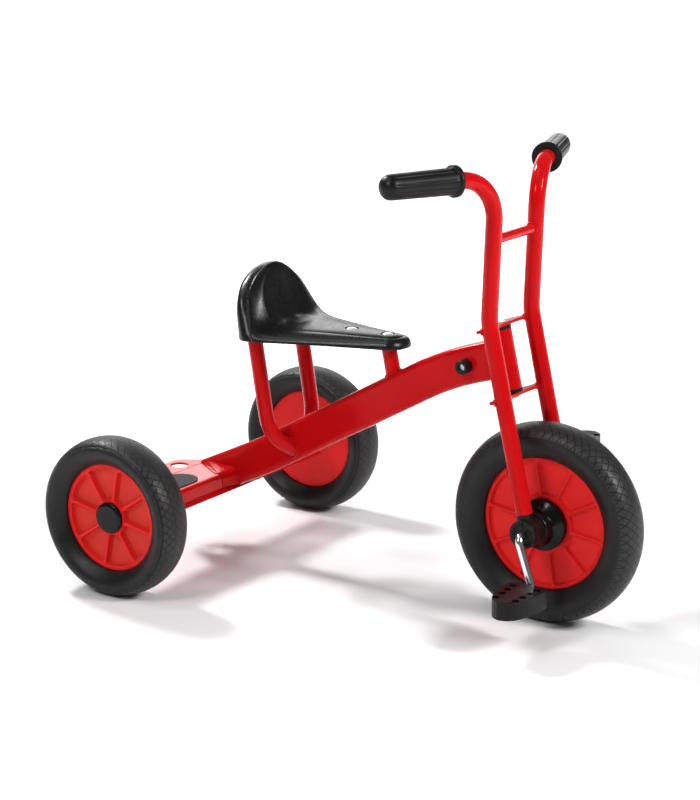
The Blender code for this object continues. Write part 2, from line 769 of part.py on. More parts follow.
def build_crown_plate(name, height, materials, steering):
    """Plate that carries the pivot and hugs the backs of both tubes."""
    tail = FORK_OFFSET - FORK_TUBE_RADIUS - 0.0055
    half = [(0.0155, 0.0), (0.0155, 0.018), (FORK_OFFSET - 0.003, 0.040),
            (FORK_OFFSET - 0.003, 0.058), (tail, 0.0625), (tail, 0.048), (-0.0165, 0.015)]
    outline = half + [(x, -y) for x, y in reversed(half) if y > 0.0]
    low = height - PLATE_THICKNESS / 2
    plate = add_object(name, prism(outline, low, low + PLATE_THICKNESS), materials["paint"], steering)
    tubes = bmesh.new()
    bite = FORK_TUBE_RADIUS + GAP
    for sign in SIDES.values():
        ring = [(FORK_OFFSET + a, sign * FORK_HALF_SPREAD + b) for a, b in circle_section(bite, 32)]
        rows = [[tubes.verts.new((x, y, z)) for x, y in ring]
                for z in (low - 0.01, low + PLATE_THICKNESS + 0.006)]
        bridge(tubes, rows, False)
        tubes.faces.new(rows[0])
        tubes.faces.new(rows[-1])
    apply_boolean(plate, add_cutter(name + "_tubes", tubes, steering))
    pivot = steering_cylinder(name + "_pivot", PIVOT_RADIUS + GAP, low - 0.01,
                              low + PLATE_THICKNESS + 0.01, steering)
    apply_boolean(plate, pivot)


def build_pivot(materials, steering):
    """Bolt through both plates and the head bushes, with its nut."""
    top = UPPER_PLATE_HEIGHT + PLATE_THICKNESS / 2 + GAP
    bottom = LOWER_PLATE_HEIGHT - PLATE_THICKNESS / 2 - GAP
    nut_low = bottom - PIVOT_NUT_HEIGHT
    profile = [(0.0, top + PIVOT_HEAD_HEIGHT), (0.007, top + PIVOT_HEAD_HEIGHT),
               (0.0105, top + 0.4 * PIVOT_HEAD_HEIGHT), (0.0105, top), (PIVOT_RADIUS, top),
               (PIVOT_RADIUS, nut_low), (0.0, nut_low)]
    add_object("steering_bolt", upright(lathe(profile, 20)), materials["steel"], steering)
    nut = upright(hex_nut(0.0105, PIVOT_RADIUS + GAP, nut_low, bottom))
    bmesh.ops.rotate(nut, verts=nut.verts, matrix=Matrix.Rotation(math.radians(15), 3, "Z"))
    add_object("steering_nut", nut, materials["steel"], steering)


def build_grip(side, flange, direction, materials, steering):
    """Plastic grip: flange at the inner end, grooves along it, domed tip."""
    bore = FORK_TUBE_RADIUS + GAP
    dome = GRIP_LENGTH - GRIP_TIP_RADIUS * 0.85
    stop = GRIP_LENGTH - 0.0135
    profile = [(bore, 0.0), (GRIP_FLANGE_RADIUS, 0.0), (GRIP_FLANGE_RADIUS, GRIP_FLANGE),
               (GRIP_RADIUS, GRIP_FLANGE + 0.001)]
    for i in range(5):
        angle = math.radians(90.0 * i / 5)
        profile.append((GRIP_TIP_RADIUS * math.cos(angle),
                        dome + (GRIP_LENGTH - dome) * math.sin(angle)))
    profile += [(0.0, GRIP_LENGTH), (0.0, stop), (bore, stop)]
    grip = lathe(profile, 20)
    turn = Vector((0, 1, 0)).rotation_difference(direction).to_matrix().to_4x4()
    rotate_shape(grip, turn)
    add_object("grip_" + side, grip, materials["black"], steering, flange)


def build_bearing_blocks(materials, steering, axle):
    """Split plastic blocks that plug into the fork tubes and carry the crank."""
    bore = CRANK_RADIUS + GAP + 0.0001
    for side, sign in SIDES.items():
        ends = sorted((sign * BLOCK_INNER, sign * BLOCK_OUTER))
        block = add_object("bearing_block_" + side, rod(BLOCK_RADIUS, *ends, 24),
                           materials["black"], axle)
        neck = FORK_TUBE_RADIUS - 0.0002
        plug = FORK_TUBE_RADIUS - TUBE_WALL - GAP
        shoulder = LEG_START - GAP
        profile = [(0.0, 0.0), (neck, 0.0), (neck, shoulder), (plug, shoulder),
                   (plug, shoulder + 0.030), (0.0, shoulder + 0.030)]
        stem = add_cutter("block_stem_" + side, upright(lathe(profile, 16)), steering,
                          (FORK_OFFSET, sign * FORK_HALF_SPREAD, 0))
        apply_boolean(block, stem, "UNION")
        hole = rod(bore, -BLOCK_OUTER - 0.02, BLOCK_OUTER + 0.02, 20)
        apply_boolean(block, add_cutter("block_bore_" + side, hole, axle))


def build_front_wheel(materials, axle):
    """Driven wheel: tyre, ribbed centre, hub covers and one-piece crank."""
    build_tyre("front_tyre", FRONT_RADIUS, FRONT_BEAD_RADIUS, 56, materials, axle)
    bore = CRANK_RADIUS + GAP
    base = HUB_COVER_BASE
    half = FRONT_RIM_HALF
    build_rim("front_rim", FRONT_BEAD_RADIUS, FRONT_HUB_RADIUS, bore,
              (FRONT_RIB_COUNT, FRONT_RIB_PHASE), (half, half - FRONT_RECESS, half, 1, True),
              materials, axle)
    for side, sign in SIDES.items():
        wide = HUB_COVER_RADIUS
        shoulder = [(bore, half + GAP), (wide, half + GAP), (wide, base + 0.0015),
                    (wide - 0.0035, base + 0.004), (wide - 0.0095, base + 0.008),
                    (wide - 0.013, base + 0.0135),
                    (wide - 0.0145, BLOCK_INNER - 0.001), (bore, BLOCK_INNER - 0.001)]
        profile = [(radius, sign * offset) for radius, offset in shoulder]
        add_object("hub_cover_" + side, lathe(profile, 24), materials["black"], axle)
    throw = crank_throw()
    reach = PEDAL_INNER + PEDAL_LENGTH - 0.010
    arm = CRANK_ARM_OFFSET
    corners = [throw + Vector((0, -reach, 0)), throw + Vector((0, -arm, 0)), Vector((0, -arm, 0)),
               Vector((0, arm, 0)), Vector((0, arm, 0)) - throw, Vector((0, reach, 0)) - throw]
    bends = [PEDAL_PIN_BEND, CRANK_BEND, CRANK_BEND, PEDAL_PIN_BEND]
    route = rounded_path(corners, bends, steps=3)
    shape = loft(sweep(route, circle_section(CRANK_RADIUS, 12)))
    add_object("crank", shape, materials["chrome"], axle)


def crank_throw():
    """From the wheel axle to the right pedal's axis."""
    return Vector((math.sin(CRANK_ANGLE), 0, -math.cos(CRANK_ANGLE))) * CRANK_LENGTH


def pedal_outline():
    """Plan of a pedal: wide inside, round outside."""
    half = PEDAL_WIDTH / 2
    end = PEDAL_LENGTH
    side = [(half - 0.005, 0.0), (half, 0.005), (half, 0.022), (half - 0.003, 0.045),
            (half - 0.0065, 0.060), (half - 0.012, 0.071), (half - 0.020, 0.0775), (0.0, end)]
    return side + [(-x, y) for x, y in reversed(side) if x > 0.0]


def build_pedals(materials, axle):
    """Hollowed pedal blocks that spin on the ends of the crank."""
    for side, sign in SIDES.items():
        spindle = add_empty("pedal_axis_" + side, -sign * crank_throw(), axle)
        outline = [(x, sign * (PEDAL_INNER + y)) for x, y in pedal_outline()]
        half = PEDAL_THICKNESS / 2
        pedal = add_object("pedal_" + side, prism(outline, -half, half), materials["black"], spindle)
        ends = sorted((sign * (PEDAL_INNER - 0.01), sign * (PEDAL_INNER + PEDAL_LENGTH - 0.0095)))
        bore = rod(CRANK_RADIUS + GAP, *ends, 16)
        apply_boolean(pedal, add_cutter("pedal_bore_" + side, bore, spindle))
        holes = bmesh.new()
        for column in (-1, 1):
            for row in range(4):
                x = column * (0.0175 - 0.0012 * row)
                y = sign * (PEDAL_INNER + 0.014 + 0.0165 * row)
                ring = circle_section(PEDAL_HOLE_RADIUS, 12)
                rows = [[holes.verts.new((x + a, y + b, z)) for a, b in ring] for z in (-0.02, 0.02)]
                bridge(holes, rows, False)
                holes.faces.new(rows[0])
                holes.faces.new(rows[-1])
        apply_boolean(pedal, add_cutter("pedal_holes_" + side, holes, spindle))


def seat_plan(rear, nose, corner, half_width, nose_half_width):
    """Half plan of one level of the seat, from rear to nose."""
    corner_x = rear + corner
    nose_x = nose - nose_half_width * NOSE_LENGTH / NOSE_HALF_WIDTH
    points = []
    for i in range(8):
        angle = math.radians(90.0 * i / 8)
        points.append((corner_x - corner * math.cos(angle) ** 0.9, half_width * math.sin(angle) ** 0.9))
    for i in range(5):
        share = (i / 5) ** 1.1
        bow = 0.003 * math.sin(math.pi * i / 5)
        points.append((corner_x + (nose_x - corner_x) * share,
                       half_width + (nose_half_width - half_width) * share - bow))
    for i in range(5):
        angle = math.radians(90.0 * i / 4)
        points.append((nose_x + (nose - nose_x) * math.sin(angle),
                       nose_half_width * math.cos(angle) if i < 4 else 0.0))
    return [Vector(point) for point in points]


def seat_stations():
    """Bottom edge, crest and share of the back's height at each step round the seat."""
    edge = seat_plan(SEAT_REAR, SEAT_NOSE, SEAT_CORNER, SEAT_HALF_WIDTH, NOSE_HALF_WIDTH)
    crest_rear = SEAT_REAR + CREST_REAR_INSET
    crest = seat_plan(crest_rear, SEAT_NOSE - CREST_NOSE_INSET, CREST_CORNER,
                      SEAT_HALF_WIDTH - CREST_SIDE_INSET, NOSE_HALF_WIDTH - CREST_TIP_INSET)
    stations = []
    for i, (low, high) in enumerate(zip(edge, crest)):
        run = i / 8 if i <= 8 else 1 + (high.x - crest_rear - CREST_CORNER) / SEAT_BACK_TAIL
        fall = 1 - (run / SEAT_BACK_RUN) ** SEAT_BACK_FALL
        stations.append((low, high, min(1.0, 0.5 * (fall + math.hypot(fall, 0.08)))))
    return stations


def seat_skirt_ring(level, stations):
    """Half a ring on the outside of the seat, between its bottom edge and its crest."""
    share, height_share, swell = level
    crown = math.sqrt(1 - (1 - share) ** 2)
    half = []
    for low, high, back in stations:
        full = min(1.0, max(0.0, (back - 0.30) / 0.40))
        full = full * full * (3 - 2 * full)
        spot = low.lerp(high, share) + (low - high).normalized() * swell * back * full
        rise = (SEAT_BACK_HEIGHT - SEAT_RIDGE_HEIGHT) * back
        share_of_rise = crown + (height_share - crown) * full
        half.append((spot.x, spot.y, SEAT_RIDGE_HEIGHT * crown + rise * share_of_rise))
    return half


def seat_bowl_ring(level, stations):
    """Half a ring inside the crest, on the way down to the pan."""
    share, height_share = level
    half = []
    for _, high, back in stations:
        spine = Vector((min(max(high.x, SEAT_REAR + BOWL_SPINE), SEAT_NOSE - 0.020), 0.0))
        spot = high.lerp(spine, share)
        pan = (SEAT_PAN_HEIGHT - SEAT_RIDGE_HEIGHT) * share * (2 - share)
        rise = (SEAT_BACK_HEIGHT - SEAT_RIDGE_HEIGHT) * back
        half.append((spot.x, spot.y, SEAT_RIDGE_HEIGHT + pan + rise * height_share))
    return half


def whole_ring(half):
    """Both halves of a ring round the seat, in world places."""
    ring = [Vector((REAR_X + x, y, SEAT_FLOOR + z)) for x, y, z in half]
    return ring + [Vector((p.x, -p.y, p.z)) for p in reversed(ring[1:-1])]


def close_ring(shape, ring):
    """Faces across a ring whose halves face each other."""
    count = len(ring)
    middle = count // 2
    for i in range(1, middle - 1):
        shape.faces.new((ring[i], ring[i + 1], ring[count - i - 1], ring[count - i]))
    shape.faces.new((ring[0], ring[1], ring[count - 1]))
    shape.faces.new((ring[middle - 1], ring[middle], ring[middle + 1]))


def seat_bolt_places():
    """How far ahead of the rear axle the two seat bolts are."""
    front = SEAT_NOSE - SEAT_BOLT_SETBACK
    return ("rear", front - SEAT_BOLT_SPACING), ("front", front)


def build_seat(materials):
    """Foam-moulded seat with a pocket for its bracket and two bolt recesses."""
    stations = seat_stations()
    rings = [seat_skirt_ring(level, stations) for level in SEAT_SKIRT]
    rings += [seat_bowl_ring(level, stations) for level in SEAT_BOWL]
    shape = bmesh.new()
    rows = [[shape.verts.new(p) for p in whole_ring(half)] for half in rings]
    bridge(shape, rows, False)
    close_ring(shape, rows[0])
    close_ring(shape, rows[-1])
    seat = add_object("seat_shell", shape, materials["black"])
    pocket = prism(bracket_outline(SEAT_POCKET_MARGIN), SEAT_FLOOR - 0.01, BRACKET_TOP + GAP)
    apply_boolean(seat, add_cutter("bracket_pocket", pocket))
    for place, distance in seat_bolt_places():
        centre = Vector((REAR_X + distance, 0, seat_top() - 0.0022))
        hole = SEAT_BOLT_RADIUS + GAP
        profile = [(0.0, -0.02), (hole, -0.02), (hole, 0.0), (0.0098, 0.0), (0.0098, 0.02),
                   (0.0, 0.02)]
        cutter = add_cutter("bolt_recess_" + place, upright(lathe(profile, 24)), None, centre)
        apply_boolean(seat, cutter)


def seat_top():
    """Height of the seat's pan above the ground."""
    return SEAT_FLOOR + SEAT_PAN_HEIGHT


def build_seat_frame(materials):
    """Two rear tubes, a front post, the bracket on top and the seat fixings."""
    low_of_bracket = BRACKET_TOP - BRACKET_THICKNESS - GAP
    side_of_beam = BEAM_WIDTH / 2 + GAP
    foot_height = beam_level(SEAT_TUBE_FOOT)[0].z - 0.0104
    for side, sign in SIDES.items():
        top = Vector((REAR_X + SEAT_TUBE_TOP, sign * SEAT_TUBE_SPREAD, low_of_bracket + 0.005))
        corner = Vector((REAR_X + SEAT_TUBE_CORNER, sign * SEAT_TUBE_SPREAD, foot_height + 0.0292))
        foot = Vector((REAR_X + SEAT_TUBE_FOOT, sign * (side_of_beam - 0.004), foot_height))
        route = rounded_path([top, corner, foot], [SEAT_TUBE_BEND], steps=6)
        tube = pipe(route, SEAT_TUBE_RADIUS, SEAT_TUBE_RADIUS - TUBE_WALL, 14,
                    ((0, 0, low_of_bracket), (0, 0, 1)), ((0, sign * side_of_beam, 0), (0, 1, 0)))
        add_object("seat_tube_" + side, tube, materials["paint"])
    top = Vector((REAR_X + SEAT_NOSE - SEAT_BOLT_SETBACK, 0, low_of_bracket))
    base, normal = seat_post_base(top)
    post = pipe([base, top], SEAT_TUBE_RADIUS, SEAT_TUBE_RADIUS - TUBE_WALL, 14,
                (base, normal), ((0, 0, low_of_bracket), (0, 0, 1)))
    add_object("seat_post", post, materials["paint"])
    build_seat_bracket(materials)


def seat_post_base(top):
    """Where the leaning seat post meets the beam, and the beam's normal there."""
    distance = SEAT_NOSE
    for _ in range(12):
        centre, slope = beam_level(distance)
        normal = Vector((-slope.z, 0, slope.x))
        base = centre + normal * (BEAM_DEPTH / 2 + GAP)
        distance += top.x + SEAT_POST_LEAN * (top.z - base.z) - base.x
    return base, normal


def bracket_outline(margin):
    """Plan of the T-shaped bracket, grown by a margin."""
    rear = REAR_X + SEAT_TUBE_TOP - 0.0092
    cross = rear + BRACKET_CROSS
    front = REAR_X + SEAT_NOSE - 0.020
    strap = BRACKET_STRAP + margin
    reach = SEAT_TUBE_SPREAD + 0.008 + margin
    half = [(rear - margin, reach), (cross + margin, reach), (cross + margin, strap),
            (front + margin, strap)]
    return half + [(x, -y) for x, y in reversed(half)]


def build_seat_bracket(materials):
    """T-shaped plate under the seat, with the bolts and nuts that hold it."""
    low = BRACKET_TOP - BRACKET_THICKNESS
    bracket = add_object("seat_bracket", prism(bracket_outline(0.0), low, BRACKET_TOP), materials["steel"])
    seat_face = seat_top() - 0.0022 + GAP
    nut_low = low - GAP - 0.005
    for end, distance in seat_bolt_places():
        place = (REAR_X + distance, 0, 0)
        hole = upright(rod(SEAT_BOLT_RADIUS + GAP, low - 0.01, BRACKET_TOP + 0.01))
        apply_boolean(bracket, add_cutter("bracket_hole_" + end, hole, None, place))
        profile = [(0.0, seat_face + 0.0028), (0.0045, seat_face + 0.0024),
                   (0.0072, seat_face + 0.001), (0.0072, seat_face),
                   (SEAT_BOLT_RADIUS, seat_face), (SEAT_BOLT_RADIUS, nut_low - 0.001),
                   (0.0, nut_low - 0.001)]
        add_object("seat_bolt_" + end, upright(lathe(profile, 20)), materials["steel"], None, place)
        nut = upright(hex_nut(0.0058, SEAT_BOLT_RADIUS + GAP, nut_low, low - GAP))
        add_object("seat_nut_" + end, nut, materials["steel"], None, place)


def build_buffers(materials, steering):
    """Rubber stops on the beam that the fork tubes meet at full lock."""
    height = head_centre()
    centre = STEER_ORIGIN + STEER_UP * height
    place, _ = beam_level(centre.x - BUFFER_SETBACK - REAR_X)
    recess, floor = 0.0052, 0.0060
    for side, sign in SIDES.items():
        start = BEAM_WIDTH / 2 + GAP
        end = start + BUFFER_LENGTH
        outline = [(0.0, start), (BUFFER_RADIUS, start), (BUFFER_RADIUS, end - 0.0012),
                   (BUFFER_RADIUS - 0.0012, end), (recess, end), (recess, start + floor),
                   (0.0, start + floor)]
        profile = [(radius, sign * offset) for radius, offset in outline]
        add_object("steering_stop_" + side, lathe(profile, 24), materials["black"], None, place)
        seat = start + floor + GAP
        ends = sorted((sign * seat, sign * (seat + 0.0026)))
        add_object("stop_screw_" + side, rod(0.0044, *ends, 16), materials["steel"], None, place)


def build_tricycle():
    """Every piece, from the frame to the pedals."""
    clear_scene()
    materials = make_materials()
    steering = add_empty("steering_axis", STEER_ORIGIN, None, -HEAD_RAKE)
    axle = add_empty("front_axle", (FORK_OFFSET, 0, 0), steering, HEAD_RAKE)
    build_beam(materials, steering)
    build_head(materials, steering)
    build_housing(materials)
    build_rear_axle(materials)
    build_rear_wheels(materials)
    build_seat_frame(materials)
    build_seat(materials)
    build_buffers(materials, steering)
    build_fork(materials, steering)
    build_pivot(materials, steering)
    build_bearing_blocks(materials, steering, axle)
    build_front_wheel(materials, axle)
    build_pedals(materials, axle)


build_tricycle()
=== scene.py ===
"""Looks of the child's steel tricycle: fine shapes, finishes, camera and studio.

Frame: +X forward, +Y to the rider's left, +Z up, in metres, as in the CAD part.
"""

import json
import math

import bmesh
import bpy
from mathutils import Matrix, Vector

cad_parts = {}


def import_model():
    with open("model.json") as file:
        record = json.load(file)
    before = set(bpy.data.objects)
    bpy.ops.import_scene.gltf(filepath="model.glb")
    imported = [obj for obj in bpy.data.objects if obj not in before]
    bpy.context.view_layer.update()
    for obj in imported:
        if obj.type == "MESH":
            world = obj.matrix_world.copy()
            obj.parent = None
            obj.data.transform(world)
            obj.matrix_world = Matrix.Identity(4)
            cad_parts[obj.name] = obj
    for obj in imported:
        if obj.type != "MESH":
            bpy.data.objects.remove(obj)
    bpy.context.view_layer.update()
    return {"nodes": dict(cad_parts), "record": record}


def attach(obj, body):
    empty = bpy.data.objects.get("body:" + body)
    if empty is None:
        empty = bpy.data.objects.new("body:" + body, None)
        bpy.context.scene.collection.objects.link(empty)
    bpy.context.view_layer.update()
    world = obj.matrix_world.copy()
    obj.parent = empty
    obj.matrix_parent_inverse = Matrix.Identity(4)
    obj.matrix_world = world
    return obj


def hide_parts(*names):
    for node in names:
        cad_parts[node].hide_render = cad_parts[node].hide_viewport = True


# Sizes that the CAD part has too
GAP = 0.0003
REAR_RADIUS = 0.110
FRONT_RADIUS = 0.134
TYRE_WIDTH = 0.058
REAR_BEAD_RADIUS = 0.0756
FRONT_BEAD_RADIUS = 0.0902
WHEELBASE = 0.536
TRACK = 0.470
REAR_RIM_HALF = 0.011
FRONT_RIM_HALF = 0.010
REAR_RECESS = 0.008
FRONT_RECESS = 0.006
HUB_CAP_RADIUS = 0.0215
HUB_CAP_HEIGHT = 0.0062
HUB_CAP_WALL = 0.0016
# Rims: radii of bore and hub, width of the outer ring. Ribs: count, turn, half width
REAR_RIM_FORM = (0.0103, 0.024, 0.0065)
FRONT_RIM_FORM = (0.0062, 0.0385, 0.0055)
REAR_RIBS = (8, math.radians(-10.5), 0.0017)
FRONT_RIBS = (10, math.radians(-8.0), 0.0010)
RIM_EDGE_GAP = 0.0006
RIM_ROUND = 0.0016
POCKET_FOOT = 0.0022
POCKET_FILLET = 0.0035
HOUSING_REAR = -0.029
HOUSING_FRONT = 0.037
HOUSING_TOP = 0.126
HOUSING_FLOOR = 0.101
HOUSING_HALF_LENGTH = 0.196
HOUSING_WALL = 0.0025
BEAM_WIDTH = 0.030
BEAM_DEPTH = 0.052
BEAM_CORNER = 0.0085
BEAM_LIFT = 0.0028
BEAM_LOW_CORNER = 0.085
BEAM_LOW_HEIGHT = 0.1527
BEAM_HIGH_SETBACK = 0.0822
BEAM_HIGH_DROP = 0.0258
BEAM_LOW_BEND = 0.900
BEAM_HIGH_BEND = 0.420
TUBE_WALL = 0.002
HEAD_RAKE = math.radians(13.0)
FORK_OFFSET = 0.021
FORK_HALF_SPREAD = 0.0545
FORK_TUBE_RADIUS = 0.0111
LEG_START = 0.0245
KINK_HEIGHT = 0.275
KINK_ANGLE = math.radians(15.0)
KINK_BEND = 0.090
RISER_LENGTH = 0.1885
HANDLEBAR_BEND = 0.056
GRIP_SWEEP = math.radians(19.7)
GRIP_RISE = math.radians(1.2)
GRIP_REACH = 0.0650
GRIP_LENGTH = 0.1155
GRIP_RADIUS = 0.0172
GRIP_TIP_RADIUS = 0.0160
GRIP_FLANGE_RADIUS = 0.0205
GRIP_FLANGE = 0.0055
GRIP_GROOVES = 10
GRIP_GROOVE_DEPTH = 0.0009
GRIP_PLUG = 0.0132
BRACE_HEIGHT = 0.108
BRACE_RADIUS = 0.0065
LOWER_PLATE_HEIGHT = 0.173
UPPER_PLATE_HEIGHT = 0.266
PLATE_THICKNESS = 0.004
HEAD_TUBE_RADIUS = 0.0165
BLOCK_RADIUS = 0.0190
BLOCK_INNER = 0.041
BLOCK_OUTER = 0.069
HUB_COVER_RADIUS = 0.0345
HUB_COVER_BASE = 0.0172
# Hub cover: inset from its radius, distance from its base
HUB_COVER_STEPS = ((0.0, 0.002), (0.0035, 0.004), (0.0095, 0.008), (0.013, 0.0135))
HUB_COVER_NECK = 0.0145
BLOCK_BORE = 0.0059
BLOCK_SLIT = 0.0007
CRANK_RADIUS = 0.0055
CRANK_LENGTH = 0.073
CRANK_ANGLE = math.radians(19.5)
CRANK_ARM_OFFSET = 0.080
CRANK_BEND = 0.010
PEDAL_PIN_BEND = 0.0075
PEDAL_INNER = 0.088
PEDAL_LENGTH = 0.080
PEDAL_WIDTH = 0.056
PEDAL_THICKNESS = 0.024
# Pedal: inset from its half width, distance from its inner end
PEDAL_PLAN = ((0.005, 0.0), (0.0, 0.005), (0.0, 0.022), (0.003, 0.045),
              (0.0065, 0.060), (0.012, 0.071), (0.020, 0.0775))
PEDAL_BORE_DEPTH = 0.082
PEDAL_PIN_INSET = 0.010
PEDAL_HOLE_RADIUS = 0.0050
PEDAL_HOLE_ROWS = 4
PEDAL_HOLE_START = 0.014
PEDAL_HOLE_PITCH = 0.0165
SEAT_FLOOR = 0.338
SEAT_REAR = 0.078
SEAT_NOSE = 0.317
SEAT_BACK_HEIGHT = 0.0942
SEAT_PAN_HEIGHT = 0.0165
SEAT_RIDGE_HEIGHT = 0.0133
SEAT_HALF_WIDTH = 0.091
SEAT_CORNER = 0.040
NOSE_HALF_WIDTH = 0.029
NOSE_LENGTH = 0.022
CREST_REAR_INSET = 0.022
CREST_SIDE_INSET = 0.036
CREST_NOSE_INSET = 0.0104
CREST_TIP_INSET = 0.0116
CREST_CORNER = 0.028
SEAT_BACK_RUN = 1.07
SEAT_BACK_FALL = 1.62
SEAT_BACK_TAIL = 0.070
BOWL_SPINE = 0.100
BOWL_AIM = 0.25
# Skirt: share of the way in to the crest, share of its height, swell at the back
SEAT_SKIRT = ((0.00, 0.00, 0.0), (0.04, 0.30, 0.006), (0.13, 0.60, 0.012),
              (0.26, 0.86, 0.013), (0.46, 0.97, 0.008), (0.72, 0.998, 0.0), (1.00, 1.00, 0.0))
# Bowl: share of the way from the crest to the spine, share of the crest's height
SEAT_BOWL = ((0.06, 0.97), (0.12, 0.89), (0.18, 0.77), (0.24, 0.63), (0.31, 0.47),
             (0.38, 0.32), (0.46, 0.18), (0.56, 0.07), (0.76, 0.0))
SEAT_BOLT_SETBACK = 0.031
SEAT_BOLT_SPACING = 0.058
SEAT_POST_LEAN = 0.216
SEAT_TUBE_TOP = 0.1022
SEAT_TUBE_CORNER = 0.1270
SEAT_TUBE_FOOT = 0.1378
SEAT_TUBE_BEND = 0.055
SEAT_TUBE_RADIUS = 0.0105
SEAT_TUBE_SPREAD = 0.054
BRACKET_TOP = 0.3472
# Weld beads: radii, distance between rings and between ripples
BEADS = {"brace": 0.0023, "plate": 0.0022, "head": 0.0022, "tow": 0.0019, "seat": 0.0021}
BEAD_STEP = 0.0008
BEAD_RIPPLE = 0.0028

REAR_X = -(WHEELBASE + FRONT_RADIUS - REAR_RADIUS) / 2
FRONT_X = REAR_X + WHEELBASE
REAR_HUB = Vector((REAR_X, 0, REAR_RADIUS))
FRONT_HUB = Vector((FRONT_X, 0, FRONT_RADIUS))
STEER_UP = Vector((-math.sin(HEAD_RAKE), 0, math.cos(HEAD_RAKE)))
STEER_FORWARD = Vector((math.cos(HEAD_RAKE), 0, math.sin(HEAD_RAKE)))
STEER_ORIGIN = FRONT_HUB - FORK_OFFSET * STEER_FORWARD
STEERING = Matrix.Translation(STEER_ORIGIN) @ Matrix.Rotation(-HEAD_RAKE, 4, "Y")
RISER = Vector((math.sin(KINK_ANGLE), 0, math.cos(KINK_ANGLE)))
SIDES = {"left": 1, "right": -1}
UPRIGHT = Matrix.Rotation(math.radians(90.0), 4, "X")

# Camera and picture
CAMERA_PLACE = (1.6040, -2.4914, 1.0437)
CAMERA_AZIMUTH = math.radians(33.66)
CAMERA_ELEVATION = math.radians(14.8)
CAMERA_LENS = 101.86
SENSOR_HEIGHT = 36.0

# Studio; the floor glows from the first distance on, up to the strength at the second
FLOOR_HALF = 60.0
FLOOR_LEVEL = -0.0002
FLOOR_GLOW = (0.55, 2.2, 0.0, 0.80)
WORLD_STRENGTH = 0.13
SUN_STRENGTH = 0.45
SUN_SPREAD = math.radians(30.0)
SUN_PLACE = (-0.25, -0.35, 1.0)
# Lamps: place, target, size, power
LAMPS = {"front": ((-0.4, -2.3, 2.2), (0, 0, 0.2), (0.6, 0.6), 28),
         "left": ((-1.8, 0.3, 2.1), (0, 0, 0.15), (0.36, 0.46), 50),
         "right": ((2.3, 0.1, 1.8), (0.1, 0, 0.2), (0.4, 0.7), 54),
         "back": ((-1.7, 2.3, 1.35), (-0.1, 0, 0.2), (2.6, 1.1), 26)}


# Material helpers

class Look:
    """A Principled material and short ways to wire nodes into it."""

    def __init__(self, name, colour, roughness, metallic=0.0):
        self.material = bpy.data.materials.new(name)
        self.material.use_nodes = True
        self.tree = self.material.node_tree
        self.shader = self.tree.nodes["Principled BSDF"]
        self.set("Base Color", (*colour, 1.0))
        self.set("Roughness", roughness)
        self.set("Metallic", metallic)
        self.height = None

    def set(self, socket, value):
        self.shader.inputs[socket].default_value = value

    def node(self, kind, **values):
        node = self.tree.nodes.new(kind)
        for key, value in values.items():
            setattr(node, key, value)
        return node

    def wire(self, source, target):
        self.tree.links.new(source, target)

    def place(self):
        return self.node("ShaderNodeTexCoord").outputs["Object"]

    def axes(self):
        """The x, y and z of a place in the piece's own frame."""
        parts = self.node("ShaderNodeSeparateXYZ")
        self.wire(self.place(), parts.inputs[0])
        return parts.outputs

    def noise(self, scale, detail, roughness=0.5):
        node = self.node("ShaderNodeTexNoise")
        node.inputs["Scale"].default_value = scale
        node.inputs["Detail"].default_value = detail
        node.inputs["Roughness"].default_value = roughness
        self.wire(self.place(), node.inputs["Vector"])
        return node.outputs["Fac"]

    def maths(self, operation, *values):
        node = self.node("ShaderNodeMath", operation=operation)
        for socket, value in zip(node.inputs, values):
            if isinstance(value, (int, float)):
                socket.default_value = value
            else:
                self.wire(value, socket)
        return node.outputs[0]

    def spread(self, value, low, high, new_low=0.0, new_high=1.0, smooth=False):
        """Map a value from one span to another."""
        node = self.node("ShaderNodeMapRange")
        if smooth:
            node.interpolation_type = "SMOOTHSTEP"
        self.wire(value, node.inputs["Value"])
        for key, number in (("From Min", low), ("From Max", high), ("To Min", new_low),
                            ("To Max", new_high)):
            node.inputs[key].default_value = number
        return node.outputs["Result"]

    def ramp(self, value, stops):
        """Colour from a value, given as (position, colour) stops."""
        node = self.node("ShaderNodeValToRGB")
        elements = node.color_ramp.elements
        while len(elements) < len(stops):
            elements.new(0.5)
        for element, (position, colour) in zip(elements, stops):
            element.position = position
            element.color = (*colour, 1.0)
        self.wire(value, node.inputs["Fac"])
        return node.outputs["Color"]

    def tone(self, scale, detail, first, second, low=0.3):
        """Colour that wanders between two."""
        return self.ramp(self.noise(scale, detail), ((low, first), (0.7, second)))

    def rough(self, value):
        self.wire(value, self.shader.inputs["Roughness"])

    def uneven(self, scale, detail, low, high):
        """Roughness that wanders between two values."""
        self.rough(self.spread(self.noise(scale, detail), 0.3, 0.7, low, high))

    def colour(self, value):
        self.wire(value, self.shader.inputs["Base Color"])

    def bump(self, value, distance, strength=1.0, round_edges=0.0):
        """Lay a height on the surface, over edges rounded by a small radius."""
        node = self.node("ShaderNodeBump")
        node.inputs["Distance"].default_value = distance
        node.inputs["Strength"].default_value = strength
        self.wire(value, node.inputs["Height"])
        if self.height:
            self.wire(self.height, node.inputs["Normal"])
        elif round_edges:
            bevel = self.node("ShaderNodeBevel", samples=4)
            bevel.inputs["Radius"].default_value = round_edges
            self.wire(bevel.outputs["Normal"], node.inputs["Normal"])
        self.height = node.outputs["Normal"]
        self.wire(self.height, self.shader.inputs["Normal"])


def around(look, count):
    """Turns of the wheel's angle, count to one turn, offset along its axle and distance from it."""
    x, y, z = look.axes()
    angle = look.maths("ARCTAN2", z, x)
    square = look.maths("ADD", look.maths("MULTIPLY", x, x), look.maths("MULTIPLY", z, z))
    return look.maths("MULTIPLY", angle, count / (2 * math.pi)), y, look.maths("SQRT", square)


